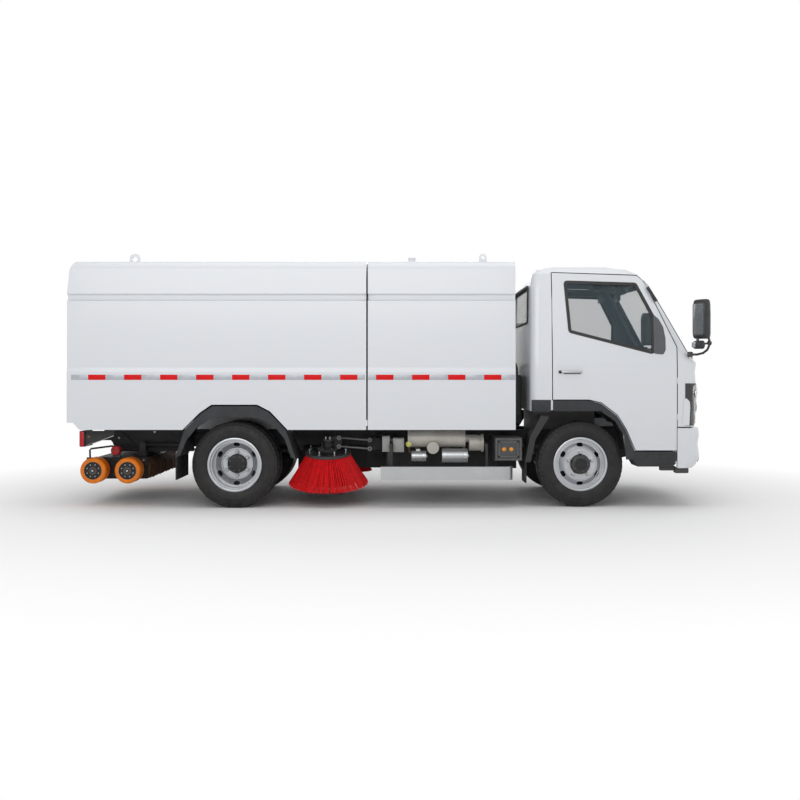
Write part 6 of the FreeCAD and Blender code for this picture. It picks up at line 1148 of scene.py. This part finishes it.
for side_name, side in SIDES:
    form.tube([(ahead(2505.0), side * 0.6, 1.16), (ahead(2505.0), side * 0.6, 1.23),
               (ahead(2500.0), side * 0.56, 1.262), (ahead(2498.0), side * 0.48, 1.266)], 0.022, 14)
    form.block((ahead(2470.0), side * 0.626, 0.8), (ahead(2540.0), side * 0.655, 1.1), 0.006)
form.piece("cooler_pack", chassis_black, "chassis", "frame_paint")
form = Form()
for x in (ahead(1610.0), ahead(1990.0)):
    ring = [(x, 0.4665, 0.36), (x, 0.4665, 0.58), (x, 0.484, 0.625), (x, 0.53, 0.6435), (x, 0.84, 0.6435),
            (x, 0.886, 0.625), (x, 0.9035, 0.58), (x, 0.9035, 0.36), (x, 0.886, 0.315), (x, 0.84, 0.2965),
            (x, 0.53, 0.2965), (x, 0.484, 0.315)]
    inner = [(p[0], 0.685 + (p[1] - 0.685) * 0.985, 0.47 + (p[2] - 0.47) * 0.985) for p in ring]
    form.band([Vector(p) for p in ring], [Vector(p) for p in inner], (0.036, 0.0, 0.0))
form.piece("fuel_tank_straps", steel, "chassis", "bright_steel")
form = Form().lathe([(0.0, 0.0), (0.0, 0.04), (0.006, 0.042), (0.022, 0.042), (0.026, 0.038), (0.026, 0.0)],
                    (ahead(1570.0), 0.866, 0.666), (0.0, 1.0, 1.0), 32)
form.piece("fuel_cap", black_plastic, "chassis", "black_plastic")


# Door handles, steps and the trim on the cab's sides

for side_name, side in SIDES:
    body = "door_" + side_name
    form = Form()
    dish = rounded(rectangle(ahead(2842.0), 1.18, ahead(3062.0), 1.246), 0.022, 5)
    form.band(on_side(dish, side, 0.003), on_side(offset(dish, -0.006), side, 0.003), (0.0, -side * 0.008, 0.0))
    form.piece("handle_dish_edge_" + side_name, paint, body, "body_paint")
    form = Form().prism(on_side(offset(dish, -0.005), side, 0.0012), (0.0, -side * 0.006, 0.0))
    form.piece("handle_dish_" + side_name, paint, body, "body_paint")
    form = Form()
    y0 = side_y(1.196)
    form.block((ahead(2874.0), side * (y0 + 0.014), 1.187), (ahead(3056.0), side * (y0 + 0.026), 1.205), 0.005)
    for a in (2880.0, 3026.0):
        form.block((ahead(a), side * (y0 - 0.004), 1.189), (ahead(a + 24.0), side * (y0 + 0.018), 1.203), 0.003)
    form.piece("door_handle_" + side_name, aluminium, body, "guard_aluminium")
    # Thin dark strip just below the handle bar: the handle's painted shadow.
    form = Form().block((ahead(2896.0), side * y0, 1.178), (ahead(3046.0), side * (y0 + 0.004), 1.187), 0.001)
    form.piece("handle_painted_shadow_" + side_name, dark_trim, body, "black_plastic")
    form = Form().lathe([(-0.004, 0.0), (-0.004, 0.0145), (0.006, 0.0145), (0.008, 0.012), (0.006, 0.009),
                         (0.006, 0.0)], (ahead(2864.0), side * y0, 1.196), (0.0, side, 0.0), 28)
    form.piece("door_lock_" + side_name, hub_black, body)
    form = Form()
    strip = [(ahead(a), z) for a, z in ((3634.0, 1.944), (3656.0, 1.956), (3736.0, 1.828), (3714.0, 1.816))]
    strip = rounded([Vector(p) for p in strip], 0.006, 3)
    form.prism([Vector((p.x, side * (side_y(p.y) + 0.01), p.y)) for p in strip], (0.0, -side * 0.016, 0.0))
    form.piece("pillar_strip_" + side_name, black_plastic, body, "black_plastic")
    form = Form()
    for k in range(5):
        z = 0.38 + 0.022 * k
        form.block((ahead(3560.0), side * 0.895, z), (ahead(3868.0), side * 0.8985, z + 0.008), 0.0015)
    form.piece("step_ribs_" + side_name, black_plastic, "cab", "black_plastic")
    form = Form()
    for k in range(9):
        a = 3560.0 + 34.0 * k
        form.block((ahead(a), side * 0.675, 0.3845), (ahead(a + 14.0), side * 0.862, 0.3885), 0.0015)
    form.piece("step_tread_" + side_name, steel, "cab", "bright_steel")
    form = Form().block((ahead(3760.0), side * 0.79, 0.322), (ahead(3900.0), side * 0.84, 0.362), 0.008)
    form.block((ahead(3890.0), side * 0.78, 0.3), (ahead(4010.0), side * 0.86, 0.35), 0.01)
    form.piece("under_bracket_" + side_name, hub_black, "cab")


# Nose: lamps, grilles, wipers and the blank plate


def skin(s, z, out):
    """Point on the cab's front and corner; s is the way round from the middle, out is outward."""
    front, bow, half = cab_section(z)
    reach = half - CAB_CORNER
    sign = -1.0 if s < 0.0 else 1.0
    s = abs(s)
    if s <= reach:
        span = s / reach
        return Vector((ahead(front + bow * (1.0 - span * span)) + out, sign * s, z))
    turn = min((s - reach) / CAB_CORNER, math.pi / 2.0)
    rest = max(0.0, s - reach - CAB_CORNER * math.pi / 2.0)
    x = ahead(front) - CAB_CORNER + (CAB_CORNER + out) * math.cos(turn) - rest
    return Vector((x, sign * (reach + (CAB_CORNER + out) * math.sin(turn)), z))


def skin_sheet(form, rows, side, out, thick, steps=16):
    """Closed sheet on the cab's front: rows are (height, nearest, furthest) round from the middle."""
    sheets = []
    for lift in (out, out - thick):
        sheets.append([[form.mesh.verts.new(skin(side * (s0 + (s1 - s0) * k / steps), z, lift))
                        for k in range(steps + 1)] for z, s0, s1 in rows])
    form.sheet(*sheets)


def eased(z0, z1, s0, s1, corner, count=10):
    """Rows of a sheet with rounded corners."""
    rows = []
    for i in range(count + 1):
        t = i / count
        z = z0 + (z1 - z0) * (0.5 - 0.5 * math.cos(math.pi * t))
        edge = min(z - z0, z1 - z, corner)
        pull = corner - math.sqrt(max(0.0, corner ** 2 - (corner - edge) ** 2))
        rows.append((z, s0 + pull, s1 - pull))
    return rows


for side_name, side in SIDES:
    form = Form()
    skin_sheet(form, eased(0.744, 0.806, 0.672, 0.83, 0.012), side, 0.0055, 0.004)
    form.piece("lamp_turn_" + side_name, lens_amber, "cab")
    form = Form()
    skin_sheet(form, [(0.727, 0.922, 0.982), (0.88, 0.922, 0.982), (0.935, 0.93, 0.982), (0.962, 0.958, 0.982)],
               side, 0.0052, 0.008)
    form.piece("lamp_side_filler_" + side_name, paint, "cab", "body_paint")
    form = Form()
    skin_sheet(form, [(0.815, 0.672, 0.872), (0.88, 0.668, 0.878), (0.96, 0.668, 0.89), (1.04, 0.668, 0.904),
                      (1.072, 0.676, 0.896), (1.078, 0.69, 0.884)], side, 0.005, 0.0035)
    form.piece("lamp_reflector_" + side_name, reflector, "cab")
    form = Form()
    for s, z, r in ((0.722, 1.006, 0.046), (0.722, 0.888, 0.05), (0.846, 1.006, 0.036)):
        spot = skin(side * s, z, 0.005)
        way = (skin(side * s, z, 0.02) - spot).normalized()
        form.lathe([(0.0, r), (0.003, r + 0.003), (0.006, r), (0.003, r - 0.004), (-0.001, r * 0.55),
                    (-0.001, 0.0)], spot, way, 40)
    form.piece("lamp_bowls_" + side_name, chrome, "cab")
    form = Form()
    skin_sheet(form, eased(0.736, 1.086, 0.652, 0.916, 0.028), side, 0.0125, 0.0015)
    form.piece("lamp_cover_" + side_name, lens_clear, "cab", "lamp_clear")
    form = Form()
    spot = Vector((ahead(4124.0), side * 0.7, 0.455))
    form.lathe([(-0.01, 0.06), (0.006, 0.064), (0.01, 0.058), (0.006, 0.05), (-0.01, 0.046)], spot,
               (1.0, side * 0.12, 0.0), 40)
    form.piece("fog_ring_" + side_name, hub_black, "cab")
    form = Form().lathe([(-0.01, 0.0), (-0.01, 0.05), (0.004, 0.05), (0.008, 0.03), (0.009, 0.0)], spot,
                        (1.0, side * 0.12, 0.0), 40)
    form.piece("fog_lamp_" + side_name, reflector, "cab")

form = Form()
for k in range(6):
    z = 0.842 + 0.034 * k
    skin_sheet(form, [(z, -0.5, 0.5), (z + 0.004, -0.503, 0.503), (z + 0.018, -0.503, 0.503),
                      (z + 0.022, -0.5, 0.5)], 1.0, 0.007, 0.01, 40)
form.piece("grille_slats", hub_black, "cab", "black_plastic")
form = Form()
skin_sheet(form, eased(0.826, 1.052, -0.53, 0.53, 0.03), 1.0, 0.0016, 0.004, 40)
form.piece("grille_panel", lamp_black, "cab", "black_plastic")


def bumper_x(y, back):
    """X of a line across the bumper's bowed front, moved back by some millimetres."""
    return ahead(4114.0 + 76.0 * (1.0 - (y / 0.795) ** 2) - back)


form = Form()
for k in range(4):
    z = 0.43 + 0.024 * k
    line = [Vector((bumper_x(y / 100.0, 46.0), y / 100.0, z)) for y in range(-42, 43, 6)]
    form.tube(line, 0.004, 6)
for k in range(15):
    y = -0.406 + 0.058 * k
    form.tube([(bumper_x(y, 46.0), y, 0.415), (bumper_x(y, 46.0), y, 0.525)], 0.003, 6)
form.piece("bumper_mesh", hub_black, "cab", "black_plastic")
form = Form().block((ahead(4183.0), -0.22, 0.51), (ahead(4189.0), 0.22, 0.62), 0.002)
form.piece("front_plate", plate_white, "cab")

for label, pivot_y, tip_y in (("right", -0.56, 0.02), ("left", 0.06, 0.64)):
    pivot = Vector((front_x(pivot_y, 1.318) + 0.004, pivot_y, 1.318))
    form = Form().lathe([(0.0, 0.0), (0.0, 0.018), (0.016, 0.016), (0.02, 0.008), (0.02, 0.0)], pivot,
                        (1.0, 0.0, 0.25), 24)
    middle_y = (pivot_y + tip_y) / 2.0
    knee = Vector((front_x(middle_y - 0.1, 1.36) + 0.026, middle_y - 0.1, 1.36))
    hold = Vector((front_x(middle_y, 1.385) + 0.02, middle_y, 1.385))
    form.tube([pivot + Vector((0.014, 0.0, 0.004)), knee, hold], 0.006, 8)
    blade = []
    for k in range(9):
        y = pivot_y + 0.06 + (tip_y - pivot_y - 0.04) * k / 8.0
        z = 1.372 + 0.026 * k / 8.0
        blade.append(Vector((front_x(y, z) + 0.011, y, z)))
    form.tube(blade, 0.006, 8)
    form.piece("wiper_" + label, hub_black, "cab", "black_plastic")


# Mirrors


def mirror_loft(form, outline, levels):
    """Rounded housing: the outline scaled about its middle at each height."""
    middle = sum(outline, Vector((0.0, 0.0))) / len(outline)
    rings = []
    for z, scale in levels:
        rings.append([form.mesh.verts.new((*(middle + (p - middle) * scale), z)) for p in outline])
    form.loft(rings)


for side_name, side in SIDES:
    outline = [Vector((ahead(a), side * y)) for a, y in ((4082.0, 1.0985), (4128.0, 1.076), (4156.0, 1.018),
                                                         (4128.0, 0.956), (4064.0, 0.937), (4006.0, 0.95))]
    form = Form()
    mirror_loft(form, rounded(outline, 0.024, 4), ((1.486, 0.72), (1.49, 0.84), (1.502, 0.94), (1.53, 1.0),
                                                   (1.7, 1.0), (1.78, 0.97), (1.812, 0.9), (1.824, 0.8),
                                                   (1.828, 0.68)))
    shell = form.piece("mirror_shell_" + side_name, black_plastic, "cab", "black_plastic", 45.0)
    if side_name == "right":
        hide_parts("mirrors")
    a = Vector((ahead(4078.0), side * 1.092, 0.0))
    b = Vector((ahead(4010.0), side * 0.956, 0.0))
    way = (b - a).normalized()
    out = Vector((way.y * side, -way.x * side, 0.0))
    if out.x > 0.0:
        out = -out
    flat = rounded(rectangle(0.01, 1.52, 0.138, 1.792), 0.022, 5)
    for label, finish, grow, lift, thick in (("edge", hub_black, 0.006, 0.0015, 0.006),
                                             ("glass", mirror_glass, -0.003, 0.003, 0.004)):
        form = Form()
        pts = [a + way * p.x + Vector((0.0, 0.0, p.y)) + out * lift for p in offset(flat, grow)]
        form.prism(pts, -out * thick)
        form.piece("mirror_" + label + "_" + side_name, finish, "cab")
    outline = [Vector((ahead(x), side * y)) for x, y in ((4006.0, 1.08), (4080.0, 1.086), (4106.0, 1.02),
                                                         (4090.0, 0.965), (4006.0, 0.955))]
    form = Form()
    mirror_loft(form, rounded(outline, 0.026, 4), ((1.397, 0.62), (1.402, 0.82), (1.416, 0.97), (1.433, 1.0),
                                                   (1.45, 0.97), (1.464, 0.82), (1.469, 0.62)))
    form.piece("wide_mirror_shell_" + side_name, black_plastic, "cab", "black_plastic", 60.0)
    form = Form().block((ahead(4002.0), side * 0.972, 1.41), (ahead(4008.0), side * 1.066, 1.457), 0.0028)
    form.piece("wide_mirror_glass_" + side_name, mirror_glass, "cab")
    form = Form().tube([(ahead(4010.0), side * 0.868, 1.352), (ahead(4062.0), side * 0.925, 1.35),
                        (ahead(4104.0), side * 0.968, 1.362), (ahead(4132.0), side * 0.996, 1.39),
                        (ahead(4144.0), side * 1.008, 1.425), (ahead(4146.0), side * 1.01, 1.47),
                        (ahead(4138.0), side * 1.01, 1.5)], 0.0105, 14)
    form.lathe([(-0.022, 0.0), (-0.02, 0.01), (-0.012, 0.0185), (0.0, 0.022), (0.012, 0.0185), (0.02, 0.01),
                (0.022, 0.0)], (ahead(4146.0), side * 1.01, 1.448), (0.0, 0.0, 1.0), 28)
    form.tube([(ahead(4044.0), side * 1.01, 1.466), (ahead(4044.0), side * 1.01, 1.49)], 0.012, 14)
    form.tube([(ahead(4146.0), side * 1.01, 1.448), (ahead(4090.0), side * 1.012, 1.44)], 0.009, 12)
    form.block((ahead(3992.0), side * 0.862, 1.328), (ahead(4036.0), side * 0.906, 1.376), 0.01)
    form.piece("mirror_arm_" + side_name, hub_black, "cab", "black_plastic", 50.0)


# Inside the cab

form = Form().block((ahead(3330.0), -0.115, 1.985), (ahead(3530.0), 0.115, 2.062), 0.022)
form.piece("roof_console", dark_trim, "cab", "dark_trim")
form = Form()
for side_name, side in SIDES:
    form.block((ahead(3490.0), side * 0.24, 1.905), (ahead(3506.0), side * 0.64, 2.03), 0.007)
form.piece("sun_visors", dark_trim, "cab", "dark_trim")
form = Form().block((ahead(3548.0), -0.115, 1.88), (ahead(3566.0), 0.115, 1.945), 0.008)
form.tube([(ahead(3556.0), 0.0, 1.94), (ahead(3548.0), 0.0, 2.0)], 0.007, 10)
form.piece("inside_mirror", hub_black, "cab", "black_plastic")
form = Form()
back_edge = rounded(rectangle(-0.66, 1.64, 0.66, 1.975), 0.05, 5)
form.band(*(upright(offset(back_edge, d), ahead(2601.0)) for d in (0.005, -0.012)), (0.014, 0.0, 0.0))
form.piece("backlight_rubber", glazing_rubber, "cab", "black_plastic")


# Tailgate and the hopper's rear

form = Form()
for y in (-0.7, -0.25, 0.25, 0.7):
    form.block((ahead(-1454.0), y - 0.035, 1.87), (ahead(-1445.0), y + 0.035, 2.03), 0.003)
    form.tube([(ahead(-1447.0), y - 0.04, 2.046), (ahead(-1447.0), y + 0.04, 2.046)], 0.006, 12)
form.piece("tailgate_hinges", chassis_black, "tailgate", "frame_paint")
form = Form()
for side_name, side in SIDES:
    for z in (0.96, 1.56):
        form.block((ahead(-1454.0), side * 0.77, z - 0.03), (ahead(-1446.0), side * 0.905, z + 0.03), 0.003)
        form.tube([(ahead(-1450.5), side * 0.8, z), (ahead(-1450.5), side * 0.9, z)], 0.0045, 12)
form.piece("tailgate_clamps", steel, "tailgate", "bright_steel")
form = Form()
for side_name, side in SIDES:
    form.tube([(ahead(-1445.0), side * 0.42, 0.905), (ahead(-1450.0), side * 0.41, 0.905),
               (ahead(-1450.0), side * 0.29, 0.905), (ahead(-1445.0), side * 0.28, 0.905)], 0.0045, 10)
form.piece("tailgate_handles", steel, "tailgate", "bright_steel")
form = Form()
seal = rounded(rectangle(-0.918, 0.826, 0.918, 2.06), 0.03, 4)
form.band(upright(seal, ahead(-1452.0)), upright(offset(seal, -0.012), ahead(-1452.0)), (0.006, 0.0, 0.0))
form.piece("tailgate_seal", glazing_rubber, "tailgate", "flap_rubber")
for finish, label, first in ((tape_red, "red", 0), (tape_silver, "silver", 1)):
    form = Form()
    for k in range(first, 11, 2):
        y = -0.88 + 0.16 * k
        form.block((ahead(-1452.5), y, 0.85), (ahead(-1450.6), y + 0.158, 0.896), 0.0004)
    form.piece("tailgate_tape_" + label, finish, "tailgate")
for side_name, side in SIDES:
    form = Form().block((ahead(-1438.0), side * 0.942, 2.022), (ahead(-1425.0), side * 0.972, 2.07), 0.004)
    form.piece("top_marker_" + side_name, lens_red, "hopper")


# Stage, light and camera

bpy.ops.mesh.primitive_plane_add(size=120.0, location=(0.0, 0.0, 0.0))
floor = bpy.context.object
floor.name = "floor"
ground = bpy.data.materials.new("floor")
ground.use_nodes = True
tree = ground.node_tree
surface = tree.nodes["Principled BSDF"]
surface.inputs["Base Color"].default_value = (0.86, 0.86, 0.86, 1.0)
surface.inputs["Roughness"].default_value = 0.9
surface.inputs["Specular IOR Level"].default_value = 0.1
place = tree.nodes.new("ShaderNodeTexCoord")
reach = tree.nodes.new("ShaderNodeVectorMath")
reach.operation = "LENGTH"
fade = tree.nodes.new("ShaderNodeMapRange")
fade.inputs["From Min"].default_value = 2.6
fade.inputs["From Max"].default_value = 5.5
white = tree.nodes.new("ShaderNodeEmission")
white.inputs["Color"].default_value = (1.0, 1.0, 1.0, 1.0)
mix = tree.nodes.new("ShaderNodeMixShader")
tree.links.new(place.outputs["Object"], reach.inputs[0])
tree.links.new(reach.outputs["Value"], fade.inputs["Value"])
tree.links.new(fade.outputs["Result"], mix.inputs["Fac"])
tree.links.new(surface.outputs["BSDF"], mix.inputs[1])
tree.links.new(white.outputs["Emission"], mix.inputs[2])
tree.links.new(mix.outputs["Shader"], tree.nodes["Material Output"].inputs["Surface"])
floor.data.materials.append(ground)

world = bpy.data.worlds.new("studio")
bpy.context.scene.world = world
world.use_nodes = True
tree = world.node_tree
backdrop = tree.nodes["Background"]
backdrop.inputs["Color"].default_value = (1.0, 1.0, 1.0, 1.0)
backdrop.inputs["Strength"].default_value = 0.5
seen = tree.nodes.new("ShaderNodeBackground")
seen.inputs["Color"].default_value = (1.0, 1.0, 1.0, 1.0)
seen.inputs["Strength"].default_value = 1.0
path = tree.nodes.new("ShaderNodeLightPath")
pick = tree.nodes.new("ShaderNodeMixShader")
share = path.outputs["Is Camera Ray"]
for ray in ("Is Glossy Ray", "Is Transmission Ray"):
    either = tree.nodes.new("ShaderNodeMath")
    either.operation = "MAXIMUM"
    tree.links.new(share, either.inputs[0])
    tree.links.new(path.outputs[ray], either.inputs[1])
    share = either.outputs["Value"]
tree.links.new(share, pick.inputs["Fac"])
tree.links.new(backdrop.outputs["Background"], pick.inputs[1])
tree.links.new(seen.outputs["Background"], pick.inputs[2])
tree.links.new(pick.outputs["Shader"], tree.nodes["World Output"].inputs["Surface"])


def area_light(name, place, target, size, power):
    """Rectangular lamp of the stage, turned towards a point."""
    lamp = bpy.data.lights.new(name, "AREA")
    lamp.shape = "RECTANGLE"
    lamp.size, lamp.size_y = size
    lamp.energy = power
    made = bpy.data.objects.new(name, lamp)
    made.location = place
    made.rotation_euler = (Vector(target) - Vector(place)).to_track_quat("-Z", "Y").to_euler()
    bpy.context.scene.collection.objects.link(made)


area_light("overhead", (0.0, -1.5, 6.5), (0.0, 0.0, 1.0), (8.0, 5.0), 150.0)
area_light("near_side", (-1.5, -8.5, 3.6), (0.0, -0.5, 1.0), (7.0, 3.0), 185.0)
area_light("far_side", (1.5, 8.5, 3.6), (0.0, 0.5, 1.0), (7.0, 3.0), 90.0)
area_light("ahead", (8.5, -3.0, 3.2), (2.0, 0.0, 1.0), (4.0, 3.0), 70.0)
area_light("behind", (-8.5, 2.0, 3.2), (-2.0, 0.0, 1.0), (4.0, 3.0), 60.0)

eye = bpy.data.cameras.new("camera")
eye.sensor_width = 36.0
eye.lens = 46.17
eye.shift_y = -0.03125
camera = bpy.data.objects.new("camera", eye)
camera.location = (0.0855, -9.94, 1.17)
camera.rotation_euler = (math.pi / 2.0, 0.0, 0.0)
bpy.context.scene.collection.objects.link(camera)
bpy.context.scene.camera = camera
bpy.context.scene.view_settings.view_transform = "Standard"
